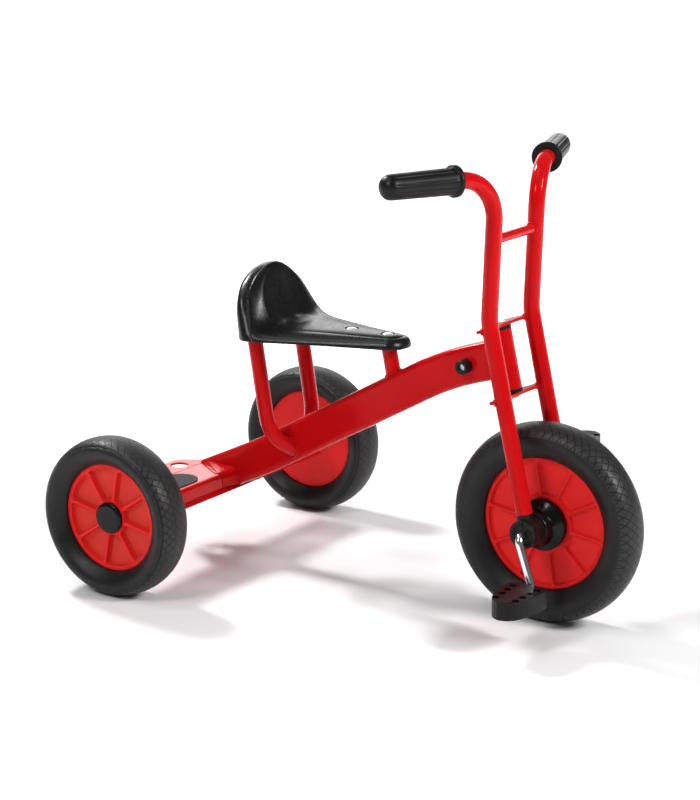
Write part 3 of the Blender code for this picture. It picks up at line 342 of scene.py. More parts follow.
def line_mask(look, value, half_width):
    """One on the whole numbers of a value, falling to nought beside them."""
    apart = look.maths("ABSOLUTE", look.maths("SUBTRACT", look.maths("FRACT", value), 0.5))
    return look.spread(apart, 0.5 - half_width, 0.5 - half_width * 0.35, 0.0, 1.0, True)


def mixed(look, share, first, second):
    """One colour fading into another, which is given as numbers."""
    mix = look.node("ShaderNodeMix", data_type="RGBA")
    look.wire(share, mix.inputs["Factor"])
    look.wire(first, mix.inputs[6])
    mix.inputs[7].default_value = (*second, 1.0)
    return mix.outputs[2]


def paint_look(name="red_paint", edge=0.0007):
    look = Look(name, (0.50, 0.004, 0.006), 0.16)
    look.colour(look.tone(14.0, 2.0, (0.485, 0.0034, 0.0050), (0.53, 0.0046, 0.0062)))
    look.uneven(60.0, 4.0, 0.12, 0.18)
    look.set("Specular IOR Level", 0.38)
    look.set("Specular Tint", (1.0, 0.15, 0.15, 1.0))
    look.bump(look.noise(420.0, 2.0), 0.0002, 0.10, edge)
    return look.material


def rim_look(name, rib, floor):
    """Moulded red plastic; the floors of its pockets have a finer, duller skin and a colour of
    their own, which on the rear rims is a darker, duller red: painted shade in the pockets.
    """
    look = Look(name, rib, 0.38)
    depth = look.spread(look.maths("ABSOLUTE", look.axes()[1]), 0.0045, 0.0072, 1.0, 0.0, True)
    skin = look.tone(22.0, 3.0, tuple(0.95 * c for c in rib), tuple(1.05 * c for c in rib))
    # Pocket floors take their own colour; on the rear rims it is darker, painted shade in the
    # pockets.
    look.colour(mixed(look, depth, skin, floor))
    look.set("Specular IOR Level", 0.35)
    look.set("Specular Tint", (1.0, 0.30, 0.30, 1.0))
    grain = look.spread(look.noise(90.0, 4.0), 0.3, 0.7, 0.32, 0.44)
    look.rough(look.maths("ADD", grain, look.maths("MULTIPLY", depth, 0.18)))
    look.bump(look.noise(700.0, 3.0), 0.0002, 0.18, 0.0006)
    return look.material


def black_plastic(name, roughness, grain, edge=0.0005):
    look = Look(name, (0.007, 0.007, 0.007), roughness)
    look.set("Specular IOR Level", 0.20)
    look.colour(look.tone(30.0, 3.0, (0.0040, 0.0038, 0.0038), (0.0065, 0.0062, 0.0062)))
    look.uneven(160.0, 4.0, roughness - 0.05, roughness + 0.06)
    look.bump(look.noise(900.0, 3.0), 0.0002, grain, edge)
    return look


def seat_look():
    """Glossy black skin with a moulding groove that arches over the back."""
    look = black_plastic("seat_skin", 0.30, 0.0, 0.0)
    look.set("Specular IOR Level", 0.32)
    x, _, z = look.axes()
    below = look.maths("DIVIDE", look.maths("SUBTRACT", SEAT_FLOOR + 0.092, z), 0.092)
    arch = look.maths("POWER", look.maths("MAXIMUM", below, 0.0), 1.6)
    arch = look.maths("MULTIPLY", arch, 0.031)
    ahead = look.maths("SUBTRACT", look.maths("SUBTRACT", x, REAR_X + 0.0945), arch)
    groove = look.spread(look.maths("ABSOLUTE", ahead), 0.0002, 0.0013, 1.0, 0.0, True)
    look.bump(look.maths("SUBTRACT", 1.0, groove), 0.0011, 0.8)
    return look.material


def pedal_look():
    """Black plastic with fine ridges on the strip between the rows of holes."""
    look = black_plastic("pedal_plastic", 0.40, 0.22)
    x, y, _ = look.axes()
    strip = look.spread(look.maths("ABSOLUTE", x), 0.0085, 0.0090, 1.0, 0.0, True)
    ridges = look.maths("SINE", look.maths("MULTIPLY", y, 2 * math.pi / 0.0022))
    look.bump(look.maths("MULTIPLY", strip, ridges), 0.0004, 0.6)
    return look.material


def tyre_look(name, radius, bead, count, seams):
    """Black rubber with a net of diagonal grooves cut into the tread; the tread is coloured lighter
    than the sidewalls as painted sheen, and the grooves darker as painted shade.
    """
    look = Look(name, (0.009, 0.009, 0.009), 0.50)
    look.set("Specular IOR Level", 0.30)
    turns, offset, reach = around(look, count)
    pitch = 2 * math.pi * radius / count
    across = look.maths("MULTIPLY", offset, 1.0 / pitch)
    grooves = look.maths("MAXIMUM", line_mask(look, look.maths("ADD", turns, across), 0.085),
                         line_mask(look, look.maths("SUBTRACT", turns, across), 0.085))
    distance = look.maths("ABSOLUTE", offset)
    shoulder = bead + 0.66 * (radius - bead)
    tread = look.spread(reach, shoulder, shoulder + 0.0015, 0.0, 1.0, True)
    band = look.maths("MULTIPLY", look.spread(distance, 0.0270, 0.0285, 1.0, 0.0, True), tread)
    grooves = look.maths("MULTIPLY", grooves, band)
    for seam in seams:
        beside = look.maths("ABSOLUTE", look.maths("SUBTRACT", distance, seam))
        line = look.maths("MULTIPLY", look.spread(beside, 0.0003, 0.0008, 1.0, 0.0, True), tread)
        grooves = look.maths("MAXIMUM", grooves, line)
    rubber_tone_and_tread_sheen = look.tone(45.0, 4.0, (0.0075, 0.0072, 0.0073), (0.0110, 0.0106, 0.0108), 0.35)
    # The tread is coloured lighter than the sidewalls: painted sheen, over the rubber's random
    # tone.
    rubber_tone_and_tread_sheen = mixed(look, look.maths("MULTIPLY", tread, 0.9), rubber_tone_and_tread_sheen, (0.026, 0.0255, 0.026))
    # The grooves and seam lines are coloured near black: painted shade in the grooves.
    look.colour(mixed(look, grooves, rubber_tone_and_tread_sheen, (0.002, 0.002, 0.002)))
    look.uneven(120.0, 4.0, 0.38, 0.50)
    look.bump(look.maths("SUBTRACT", 1.0, grooves), 0.0018, 1.0)
    look.bump(look.noise(800.0, 4.0, 0.6), 0.0003, 0.22)
    return look.material


def pad_look():
    """Black mineral grit bound on a thin sheet."""
    look = Look("grip_pad", (0.035, 0.036, 0.039), 0.9)
    cells = look.node("ShaderNodeTexVoronoi")
    cells.inputs["Scale"].default_value = 900.0
    look.wire(look.place(), cells.inputs["Vector"])
    grit = look.noise(1400.0, 4.0, 0.7)
    look.colour(look.ramp(grit, ((0.35, (0.018, 0.019, 0.021)), (0.55, (0.05, 0.052, 0.056)),
                                 (0.72, (0.13, 0.135, 0.14)))))
    look.bump(cells.outputs["Distance"], 0.0006, 0.7)
    look.bump(grit, 0.0004, 0.5)
    return look.material


def chrome_look():
    look = Look("chrome", (0.80, 0.81, 0.83), 0.08, 1.0)
    look.uneven(70.0, 3.0, 0.10, 0.17)
    look.bump(look.noise(180.0, 2.0), 0.0002, 0.02)
    return look.material


def steel_look():
    look = Look("zinc_steel", (0.72, 0.73, 0.75), 0.36, 0.55)
    look.colour(look.tone(60.0, 3.0, (0.68, 0.69, 0.71), (0.76, 0.77, 0.79)))
    look.uneven(240.0, 3.0, 0.26, 0.40)
    look.bump(look.noise(600.0, 2.0), 0.0002, 0.1, 0.0003)
    return look.material


# Mesh helpers

def add_item(name, data, place=(0, 0, 0)):
    """Put data in the scene as an object."""
    item = bpy.data.objects.new(name, data)
    item.location = place
    bpy.context.scene.collection.objects.link(item)
    return item


def add_mesh(name, shape):
    """Turn a bmesh into an object and free it."""
    mesh = bpy.data.meshes.new(name)
    shape.to_mesh(mesh)
    shape.free()
    return add_item(name, mesh)


def shade(item, angle):
    item.data.shade_smooth()
    item.data.set_sharp_from_angle(angle=math.radians(angle))


def add_piece(name, shape, material, body, nodes=(), origin=None, angle=35.0):
    """Turn a bmesh in world places into a smooth piece that rides on a CAD body."""
    bmesh.ops.recalc_face_normals(shape, faces=shape.faces)
    if origin is not None:
        bmesh.ops.translate(shape, verts=shape.verts, vec=-Vector(origin))
    item = add_mesh(name, shape)
    shade(item, angle)
    item.data.materials.append(material)
    if origin is not None:
        item.location = origin
    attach(item, body)
    if nodes:
        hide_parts(*nodes)
    return item


def bridge(shape, rings, closed):
    """Join rings of equal length with quads."""
    count = len(rings)
    for i in range(count if closed else count - 1):
        ring, following = rings[i], rings[(i + 1) % count]
        for j in range(len(ring)):
            k = (j + 1) % len(ring)
            shape.faces.new((ring[j], ring[k], following[k], following[j]))


def loft(rings, closed=False):
    """A closed body through rings of points, with flat ends unless closed."""
    shape = bmesh.new()
    rows = [[shape.verts.new(point) for point in ring] for ring in rings]
    bridge(shape, rows, closed)
    if not closed:
        shape.faces.new(rows[0])
        shape.faces.new(rows[-1])
    return shape


def prism(outline, low, high):
    """An upright body over an (x, y) outline."""
    return loft([[(x, y, z) for x, y in outline] for z in (low, high)])


def lathe(profile, segments, swell=None):
    """Turn a (radius, offset) profile about the Y axis; swell changes a radius by its angle."""
    shape = bmesh.new()
    rows = []
    for radius, offset in profile:
        if radius == 0.0:
            rows.append([shape.verts.new((0, offset, 0))])
            continue
        row = []
        for i in range(segments):
            angle = 2 * math.pi * i / segments
            reach = swell(radius, offset, angle) if swell else radius
            row.append(shape.verts.new((reach * math.cos(angle), offset, reach * math.sin(angle))))
        rows.append(row)
    for row, following in zip(rows, rows[1:] + rows[:1]):
        if len(row) == 1 and len(following) == 1:
            continue
        for j in range(segments):
            k = (j + 1) % segments
            if len(row) == 1:
                shape.faces.new((row[0], following[k], following[j]))
            elif len(following) == 1:
                shape.faces.new((row[j], row[k], following[0]))
            else:
                shape.faces.new((row[j], row[k], following[k], following[j]))
    return shape


def peg(radius, low, high, segments):
    """A plain rod along the Y axis."""
    return lathe([(0.0, low), (radius, low), (radius, high), (0.0, high)], segments)


def turned(outline, sign, radius, steps, segments, hub):
    """Lathe an outline, corners rounded by a radius, on one side of a hub."""
    profile = [(r, sign * y) for r, y in softened(outline, radius, steps)]
    return moved(lathe(profile, segments), at(hub))


def moved(shape, matrix):
    """Move a bmesh in place and hand it back."""
    bmesh.ops.transform(shape, matrix=matrix, verts=shape.verts)
    return shape


def at(place):
    return Matrix.Translation(Vector(place))


def arc_points(centre, radius, start, end, steps):
    """Points on an arc, angles in degrees."""
    points = []
    for i in range(steps + 1):
        angle = math.radians(start + (end - start) * i / steps)
        points.append((centre[0] + radius * math.cos(angle), centre[1] + radius * math.sin(angle)))
    return points


def softened(profile, radius, steps):
    """Round the inner corners of an (a, b) profile; its two ends stay."""
    points = [profile[0]]
    for before, corner, after in zip(profile, profile[1:], profile[2:]):
        corner = Vector(corner)
        back, ahead = Vector(before) - corner, Vector(after) - corner
        reach = min(radius, back.length * 0.45, ahead.length * 0.45)
        first, final = corner + back.normalized() * reach, corner + ahead.normalized() * reach
        for i in range(steps + 1):
            share = i / steps
            near, far = first.lerp(corner, share), corner.lerp(final, share)
            points.append(tuple(near.lerp(far, share)))
    points.append(profile[-1])
    return points


def curve_through(points, steps):
    """Smooth open curve through (a, b) points."""
    count = len(points)
    path = []
    for i in range(count - 1):
        p0 = Vector(points[max(i - 1, 0)])
        p1, p2 = Vector(points[i]), Vector(points[i + 1])
        p3 = Vector(points[min(i + 2, count - 1)])
        for j in range(steps):
            t = j / steps
            spot = 0.5 * ((2 * p1) + (p2 - p0) * t + (2 * p0 - 5 * p1 + 4 * p2 - p3) * t * t
                          + (3 * p1 - p0 - 3 * p2 + p3) * t ** 3)
            path.append(tuple(spot))
    path.append(tuple(points[-1]))
    return path


def rounded_path(points, radii, steps):
    """Round the corners of a route; radii are for the inner points."""
    route = [Vector(points[0])]
    for i, radius in enumerate(radii, start=1):
        corner = Vector(points[i])
        back = (Vector(points[i - 1]) - corner).normalized()
        ahead = (Vector(points[i + 1]) - corner).normalized()
        half = back.angle(ahead) / 2
        reach = radius / math.tan(half)
        centre = corner + (back + ahead).normalized() * radius / math.sin(half)
        first = corner + back * reach - centre
        final = corner + ahead * reach - centre
        span = first.angle(final)
        for j in range(steps + 1):
            share = j / steps
            blend = math.sin((1 - share) * span) * first + math.sin(share * span) * final
            route.append(centre + blend / math.sin(span))
    route.append(Vector(points[-1]))
    return route


def slide_to_plane(point, direction, plane):
    """Move a point along a direction onto a plane (point, normal)."""
    origin, normal = Vector(plane[0]), Vector(plane[1])
    return point + direction * ((origin - point).dot(normal) / direction.dot(normal))


def sweep(route, section, start_plane=None, end_plane=None, closed=False):
    """Rings of a section, given as (side, up) pairs, along a route."""
    rings = []
    side = None
    count = len(route)
    for i, point in enumerate(route):
        before = route[i - 1] if closed else route[max(i - 1, 0)]
        after = route[(i + 1) % count] if closed else route[min(i + 1, count - 1)]
        tangent = (after - before).normalized()
        if side is None:
            side = Vector((0, 1, 0)) if abs(tangent.y) < 0.9 else Vector((1, 0, 0))
        side = (side - tangent * side.dot(tangent)).normalized()
        up = tangent.cross(side)
        ring = [point + side * a + up * b for a, b in section]
        if i == 0 and start_plane:
            ring = [slide_to_plane(p, tangent, start_plane) for p in ring]
        if i == count - 1 and end_plane:
            ring = [slide_to_plane(p, tangent, end_plane) for p in ring]
        rings.append(ring)
    return rings


def circle(radius, sides):
    step = 2 * math.pi / sides
    return [(radius * math.cos(i * step), radius * math.sin(i * step)) for i in range(sides)]


def box_section(width, depth, corner):
    """Points round a rectangle with rounded corners."""
    half_w, half_d = width / 2 - corner, depth / 2 - corner
    points = []
    for i, (a, b) in enumerate(((1, 1), (-1, 1), (-1, -1), (1, -1))):
        start = 90.0 * i
        points += arc_points((a * half_w, b * half_d), corner, start, start + 90.0, 6)
    return points


def pipe(route, outer, inner, sides, start_plane=None, end_plane=None):
    """A bent round tube with a bore."""
    skin, bore = (sweep(route, circle(radius, sides), start_plane, end_plane)
                  for radius in (outer, inner))
    return loft(skin + bore[::-1], closed=True)


def add_bevel(item, width, angle=30.0):
    """Round a piece's own edges."""
    modifier = item.modifiers.new("edges", "BEVEL")
    modifier.width = width
    modifier.segments = 2
    modifier.limit_method = "ANGLE"
    modifier.angle_limit = math.radians(angle)
    modifier.harden_normals = True


def cut(item, shape):
    """Cut a shape from a piece and leave nothing behind."""
    bmesh.ops.recalc_face_normals(shape, faces=shape.faces)
    cutter = add_mesh("cutter", shape)
    modifier = item.modifiers.new("cut", "BOOLEAN")
    modifier.object = cutter
    modifier.operation = "DIFFERENCE"
    modifier.solver = "EXACT"
    bpy.context.view_layer.update()
    graph = bpy.context.evaluated_depsgraph_get()
    solid = bpy.data.meshes.new_from_object(item.evaluated_get(graph))
    item.modifiers.clear()
    item.data = solid
    bpy.data.objects.remove(cutter, do_unlink=True)


# Wheels

def tyre_section(radius, bead):
    """Smooth half-round section of a tyre, from one bead over the crown to the other."""
    half = TYRE_WIDTH / 2
    height = radius - bead
    side = [(bead - 0.001, 0.50 * half), (bead + 0.10 * height, 0.68 * half),
            (bead + 0.36 * height, 0.92 * half), (bead + 0.62 * height, 0.975 * half),
            (bead + 0.84 * height, 0.80 * half), (bead + 0.965 * height, 0.42 * half),
            (radius, 0.0)]
    mirrored = [(r, -offset) for r, offset in reversed(side[:-1])]
    smooth = curve_through(side + mirrored, 5)
    return [(min(r, radius), offset) for r, offset in smooth]


def build_tyre(name, radius, bead, material, body, hub):
    shape = moved(lathe(tyre_section(radius, bead), 192), at(hub))
    add_piece(name + "_skin", shape, material, body, (name,), hub, 50.0)


def rim_row(radius, ribs):
    """Angles round a rim at one radius, with how far each is from the nearest rib."""
    count, phase, half_width = ribs
    pitch = 2 * math.pi / count
    spans = [0.0, 0.6, 1.0, 1.3, 1.7, 2.2, 2.8, 3.6, 4.8]
    row = []
    for i in range(count):
        centre = phase + i * pitch
        offsets = [math.asin(min(0.9, half_width * s / radius)) for s in spans]
        widest = offsets[-1]
        middle = [widest + (pitch / 2 - widest) * k / 4 for k in range(1, 4)]
        positive = offsets[1:] + middle
        for offset in [-o for o in reversed(positive)] + [0.0] + positive + [pitch / 2]:
            row.append((centre + offset, radius * math.sin(min(abs(offset), math.pi / 2))))
    return row


def smooth_step(value):
    value = min(1.0, max(0.0, value))
    return value * value * (3 - 2 * value)


def rim_radii(form, bead):
    """Radii of a rim's bore, hub, outer ring and edge."""
    bore, hub, ring_width = form
    edge = bead - RIM_EDGE_GAP
    return bore, hub, edge - ring_width, edge


def rim_skin(radii, ribs, half, recess, outward):
    """Rings of one ribbed face as (x, y, z), pockets with rounded corners and sloping walls."""
    bore, hub, ring, edge = radii
    steps = [0.0008, 0.0016, 0.0026, 0.004, 0.006]
    stations = [bore, hub - 0.0015, hub] + [hub + step for step in steps]
    span = ring - hub
    stations += [hub + span * share for share in (0.3, 0.42, 0.55, 0.68, 0.78)]
    stations += [ring - step for step in reversed(steps)] + [ring]
    stations += [edge - RIM_ROUND * share for share in (1, 0.5, 0.125, 0)]
    rows = []
    for radius in stations:
        row = []
        for angle, apart in rim_row(max(radius, hub), ribs):
            walls = [apart - ribs[2], ring - radius, radius - hub]
            level = half
            if min(walls) > 0:
                parts = [max(0.0, POCKET_FILLET - wall) for wall in walls]
                inside = POCKET_FILLET - math.sqrt(sum(part * part for part in parts))
                level -= recess * smooth_step(inside / POCKET_FOOT)
            drop = max(0.0, radius - (edge - RIM_ROUND))
            level -= RIM_ROUND * (1 - math.sqrt(max(0.0, 1 - (drop / RIM_ROUND) ** 2)))
            row.append((radius * math.cos(angle), outward * level, radius * math.sin(angle)))
        rows.append(row)
    return rows


def build_rim(name, radii, ribs, half, recesses, outward, material, body, hub):
    """A rim whose two faces each have ribs where their recess isn't nought."""
    face = rim_skin(radii, ribs, half, recesses[0], outward)
    back = rim_skin(radii, ribs, half, recesses[1], -outward)
    shape = moved(loft(face + back[::-1], closed=True), at(hub))
    add_piece(name + "_moulding", shape, material, body, (name,), hub, 50.0)


def build_rear_wheels(looks):
    radii = rim_radii(REAR_RIM_FORM, REAR_BEAD_RADIUS)
    base = REAR_RIM_HALF + GAP
    crown = base + HUB_CAP_HEIGHT
    wide, inner, ceiling = HUB_CAP_RADIUS, HUB_CAP_RADIUS - HUB_CAP_WALL, crown - HUB_CAP_WALL
    outline = [(0.0, crown - 0.0004), (0.80 * wide, crown), (wide, crown - 0.0022), (wide, base),
               (inner, base), (inner, crown - 0.0036), (0.6 * wide, ceiling), (0.0, ceiling)]
    for side, sign in SIDES.items():
        hub = REAR_HUB + Vector((0, sign * TRACK / 2, 0))
        body = "rear_wheel_" + side
        build_tyre("rear_tyre_" + side, REAR_RADIUS, REAR_BEAD_RADIUS, looks["rear_tyre"], body,
                   hub)
        build_rim("rear_rim_" + side, radii, REAR_RIBS, REAR_RIM_HALF, (REAR_RECESS, 0.0), sign,
                  looks["rear_rim"], body, hub)
        add_piece("hub_cap_" + side + "_shape", turned(outline, sign, 0.0016, 4, 72, hub),
                  looks["cover"], body, ("hub_cap_" + side,), hub)


def build_front_wheel(looks):
    body, hub = "front_wheel", FRONT_HUB
    radii = rim_radii(FRONT_RIM_FORM, FRONT_BEAD_RADIUS)
    build_tyre("front_tyre", FRONT_RADIUS, FRONT_BEAD_RADIUS, looks["front_tyre"], body, hub)
    build_rim("front_rim", radii, FRONT_RIBS, FRONT_RIM_HALF, (FRONT_RECESS, FRONT_RECESS), 1,
              looks["rim"], body, hub)
    bore, wide, end = radii[0], HUB_COVER_RADIUS, BLOCK_INNER - 0.001
    outline = [(bore, FRONT_RIM_HALF), (wide, FRONT_RIM_HALF)]
    outline += [(wide - inset, HUB_COVER_BASE + rise) for inset, rise in HUB_COVER_STEPS]
    outline += [(wide - HUB_COVER_NECK, end), (bore, end)]
    for side, sign in SIDES.items():
        add_piece("hub_cover_" + side + "_shape", turned(outline, sign, 0.0025, 4, 96, hub),
                  looks["cover"], body, ("hub_cover_" + side,), hub)
    build_crank(looks)


def crank_throw():
    """From the wheel axle to the right pedal's axis."""
    return Vector((math.sin(CRANK_ANGLE), 0, -math.cos(CRANK_ANGLE))) * CRANK_LENGTH


def build_crank(looks):
    throw = crank_throw()
    reach = PEDAL_INNER + PEDAL_LENGTH - PEDAL_PIN_INSET
    arm = CRANK_ARM_OFFSET
    corners = [throw + Vector((0, -reach, 0)), throw + Vector((0, -arm, 0)), Vector((0, -arm, 0)),
               Vector((0, arm, 0)), Vector((0, arm, 0)) - throw, Vector((0, reach, 0)) - throw]
    route = rounded_path(corners, [PEDAL_PIN_BEND, CRANK_BEND, CRANK_BEND, PEDAL_PIN_BEND], 8)
    shape = moved(loft(sweep(route, circle(CRANK_RADIUS, 28))), at(FRONT_HUB))
    add_piece("crank_rod", shape, looks["chrome"], "front_wheel", ("crank",), FRONT_HUB)


def pedal_outline():
    """Plan of a pedal: wide inside, round outside."""
    side = [(PEDAL_WIDTH / 2 - inset, y) for inset, y in PEDAL_PLAN] + [(0.0, PEDAL_LENGTH)]
    return side + [(-x, y) for x, y in reversed(side) if x > 0.0]


def build_pedals(looks):
    half = PEDAL_THICKNESS / 2
    plan = pedal_outline()
    outline = softened(plan + plan[:1], 0.006, 3)[1:]
    for side, sign in SIDES.items():
        body = "pedal_" + side
        centre = FRONT_HUB - sign * crank_throw()
        block = prism([(x, sign * (PEDAL_INNER + y)) for x, y in outline], -half, half)
        item = add_piece(body + "_block", moved(block, at(centre)), looks["pedal"], body, (body,),
                         centre)
        bore = peg(CRANK_RADIUS + GAP, 0.0, sign * PEDAL_BORE_DEPTH, 28)
        cut(item, moved(bore, at(centre + Vector((0, sign * (PEDAL_INNER - PEDAL_PIN_INSET), 0)))))
        for column in (-1, 1):
            for row in range(PEDAL_HOLE_ROWS):
                y = PEDAL_INNER + PEDAL_HOLE_START + PEDAL_HOLE_PITCH * row
                spot = centre + Vector((column * (0.0175 - 0.0012 * row), sign * y, 0))
                hole = moved(peg(PEDAL_HOLE_RADIUS, -0.02, 0.02, 28), UPRIGHT)
                cut(item, moved(hole, at(spot)))
        add_bevel(item, 0.0009, 40.0)


def build_blocks(looks):
    """Split bearing blocks that plug into the fork tubes."""
    wide, end, recess = BLOCK_RADIUS, BLOCK_OUTER, BLOCK_OUTER - 0.0018
    outline = [(BLOCK_BORE, BLOCK_INNER), (wide, BLOCK_INNER), (wide, end), (wide - 0.0048, end),
               (wide - 0.0072, recess), (BLOCK_BORE, recess)]
    neck = FORK_TUBE_RADIUS - 0.0004
    for side, sign in SIDES.items():
        item = add_piece("bearing_block_" + side + "_shape",
                         turned(outline, sign, 0.0012, 3, 72, FRONT_HUB), looks["black"],
                         "steering", ("bearing_block_" + side,), FRONT_HUB)
        corners = ((-1, 0.030), (1, 0.030), (1, 0.075), (-1, 0.075))
        slit = prism([(a * BLOCK_SLIT, sign * y) for a, y in corners], 0.008, 0.030)
        cut(item, moved(slit, at(FRONT_HUB)))
        stem = moved(peg(neck, 0.006, LEG_START + 0.002, 48), UPRIGHT)
        moved(stem, at((FORK_OFFSET, sign * FORK_HALF_SPREAD, 0)))
        piece = add_piece("block_neck_" + side, moved(stem, STEERING), looks["black"], "steering",
                          (), FRONT_HUB)
        add_bevel(item, 0.0006)
        add_bevel(piece, 0.0004)


# Fork and handlebar

def handlebar_points(sign):
    """Foot, kink, top and grip flange of a fork tube, in the steering frame."""
    foot = Vector((FORK_OFFSET, sign * FORK_HALF_SPREAD, LEG_START))
    kink = Vector((FORK_OFFSET, sign * FORK_HALF_SPREAD, KINK_HEIGHT))
    top = kink + RISER * RISER_LENGTH
    return foot, kink, top, top + grip_direction(sign) * GRIP_REACH


def grip_direction(sign):
    """Unit vector out along a grip, in the steering frame."""
    level = math.cos(GRIP_RISE)
    world = Vector((-math.sin(GRIP_SWEEP) * level, sign * math.cos(GRIP_SWEEP) * level,
                    math.sin(GRIP_RISE)))
    return Matrix.Rotation(HEAD_RAKE, 3, "Y") @ world


def build_fork(looks):
    for side, sign in SIDES.items():
        foot, kink, top, flange = handlebar_points(sign)
        tip = flange + grip_direction(sign) * (GRIP_LENGTH - 0.014)
        route = rounded_path([foot, kink, top, tip], [KINK_BEND, HANDLEBAR_BEND], 16)
        shape = pipe(route, FORK_TUBE_RADIUS, FORK_TUBE_RADIUS - TUBE_WALL, 48)
        item = add_piece("fork_tube_" + side + "_bend", moved(shape, STEERING), looks["paint"],
                         "steering", ("fork_tube_" + side,))
        add_bevel(item, 0.0005)
        build_grip(side, sign, looks)
    reach = FORK_HALF_SPREAD - FORK_TUBE_RADIUS + 0.004
    end = handlebar_points(1)[1] + RISER * BRACE_HEIGHT
    middle = Vector((end.x, 0.0, end.z))
    bar = moved(peg(BRACE_RADIUS, -reach, reach, 40), at(middle))
    add_piece("brace_bar", moved(bar, STEERING), looks["paint"], "steering", ("handlebar_brace",))
    for side, sign in SIDES.items():
        weld_fork(side, sign, middle, end, looks)


def weld_fork(side, sign, middle, end, looks):
    """Beads where the brace and the crown plates meet one fork tube."""
    route = []
    for i in range(48):
        angle = 2 * math.pi * i / 48
        spot = middle + Vector((BRACE_RADIUS * math.cos(angle), 0, BRACE_RADIUS * math.sin(angle)))
        across = (spot - middle) - RISER * (spot - middle).dot(RISER)
        drop = math.sqrt(max(0.0, FORK_TUBE_RADIUS ** 2 - across.length ** 2))
        route.append(Vector((spot.x, sign * (abs(end.y) - drop), spot.z)))
    weld_bead("brace_weld_" + side, route, BEADS["brace"], looks, "steering", STEERING)
    arc = arc_points((FORK_OFFSET, sign * FORK_HALF_SPREAD), FORK_TUBE_RADIUS + 0.0004,
                     105.0, 255.0, 30)
    for plate, height in (("lower", LOWER_PLATE_HEIGHT), ("upper", UPPER_PLATE_HEIGHT)):
        for face, way in (("under", -1), ("over", 1)):
            level = height + way * (PLATE_THICKNESS / 2 + 0.0002)
            weld_bead("plate_weld_" + plate + "_" + face + "_" + side,
                      [Vector((a, b, level)) for a, b in arc], BEADS["plate"], looks, "steering",
                      STEERING, False)


def weld_bead(name, route, radius, looks, body, matrix=None, closed=True):
    """A rippled bead along a route."""
    path = route + route[:1] if closed else route
    length = sum((b - a).length for a, b in zip(path, path[1:]))
    steps = max(24, int(length / BEAD_STEP))
    fine = resample(path, steps, closed)
    ripples = max(4, int(length / BEAD_RIPPLE))
    rings = []
    for i, (point, ring) in enumerate(zip(fine, sweep(fine, circle(1.0, 10), closed=closed))):
        swell = radius * (1.0 + 0.10 * math.cos(2 * math.pi * ripples * i / steps))
        if not closed:
            swell *= 0.25 + 0.75 * smooth_step(min(i, len(fine) - 1 - i) / 5)
        rings.append([point + (p - point) * swell for p in ring])
    shape = loft(rings, closed=closed)
    if matrix:
        moved(shape, matrix)
    add_piece(name, shape, looks["weld"], body, (), None, 80.0)


def resample(path, count, closed):
    """Even points along a path; a closed one leaves out its last."""
    lengths = [0.0]
    for a, b in zip(path, path[1:]):
        lengths.append(lengths[-1] + (b - a).length)
    points = []
    index = 0
    for i in range(count if closed else count + 1):
        target = min(lengths[-1] * i / count, lengths[-1] - 1e-9)
        while lengths[index + 1] < target:
            index += 1
        share = (target - lengths[index]) / max(1e-9, lengths[index + 1] - lengths[index])
        points.append(path[index].lerp(path[index + 1], share))
    return points


def build_grip(side, sign, looks):
    """Plastic grip with a round flange, grooves along it and a domed end."""
    bore = FORK_TUBE_RADIUS + GAP
    dome = GRIP_LENGTH - GRIP_TIP_RADIUS * 0.85
    outline = [(bore, 0.0), (GRIP_FLANGE_RADIUS, 0.0), (GRIP_FLANGE_RADIUS, GRIP_FLANGE),
               (GRIP_RADIUS, GRIP_FLANGE + 0.0008), (GRIP_RADIUS, GRIP_FLANGE + 0.006)]
    outline = softened(outline, 0.0016, 4)
    for i in range(11):
        offset = GRIP_FLANGE + 0.010 + (dome - GRIP_FLANGE - 0.010) * i / 10
        share = (offset - GRIP_FLANGE) / (dome - GRIP_FLANGE)
        outline.append((GRIP_RADIUS + (GRIP_TIP_RADIUS - GRIP_RADIUS) * share, offset))
    for i in range(1, 9):
        angle = math.radians(90.0 * i / 9)
        outline.append((GRIP_TIP_RADIUS * math.cos(angle),
                        dome + (GRIP_LENGTH - dome) * math.sin(angle)))
    plug = GRIP_LENGTH - GRIP_PLUG
    outline += [(0.0, GRIP_LENGTH), (0.0, plug), (bore, plug)]
    first, last = GRIP_FLANGE + 0.003, dome + 0.004

    def swell(radius, offset, angle):
        if radius < bore + 0.001 or offset < first or offset > last:
            return radius
        fade = smooth_step((offset - GRIP_FLANGE - 0.003) / 0.004)
        fade *= smooth_step((last - offset) / 0.006)
        turn = angle * GRIP_GROOVES / (2 * math.pi)
        apart = abs(turn - round(turn)) * 2 * math.pi / GRIP_GROOVES * radius
        return radius - GRIP_GROOVE_DEPTH * fade * (1 - smooth_step(apart / 0.0016))

    grip = lathe(outline, 240, swell)
    turn = Vector((0, 1, 0)).rotation_difference(grip_direction(sign))
    moved(grip, turn.to_matrix().to_4x4())
    moved(grip, at(handlebar_points(sign)[3]))
    add_piece("grip_" + side + "_sleeve", moved(grip, STEERING), looks["grip"], "steering",
              ("grip_" + side,), None, 45.0)


# Beam and seat frame

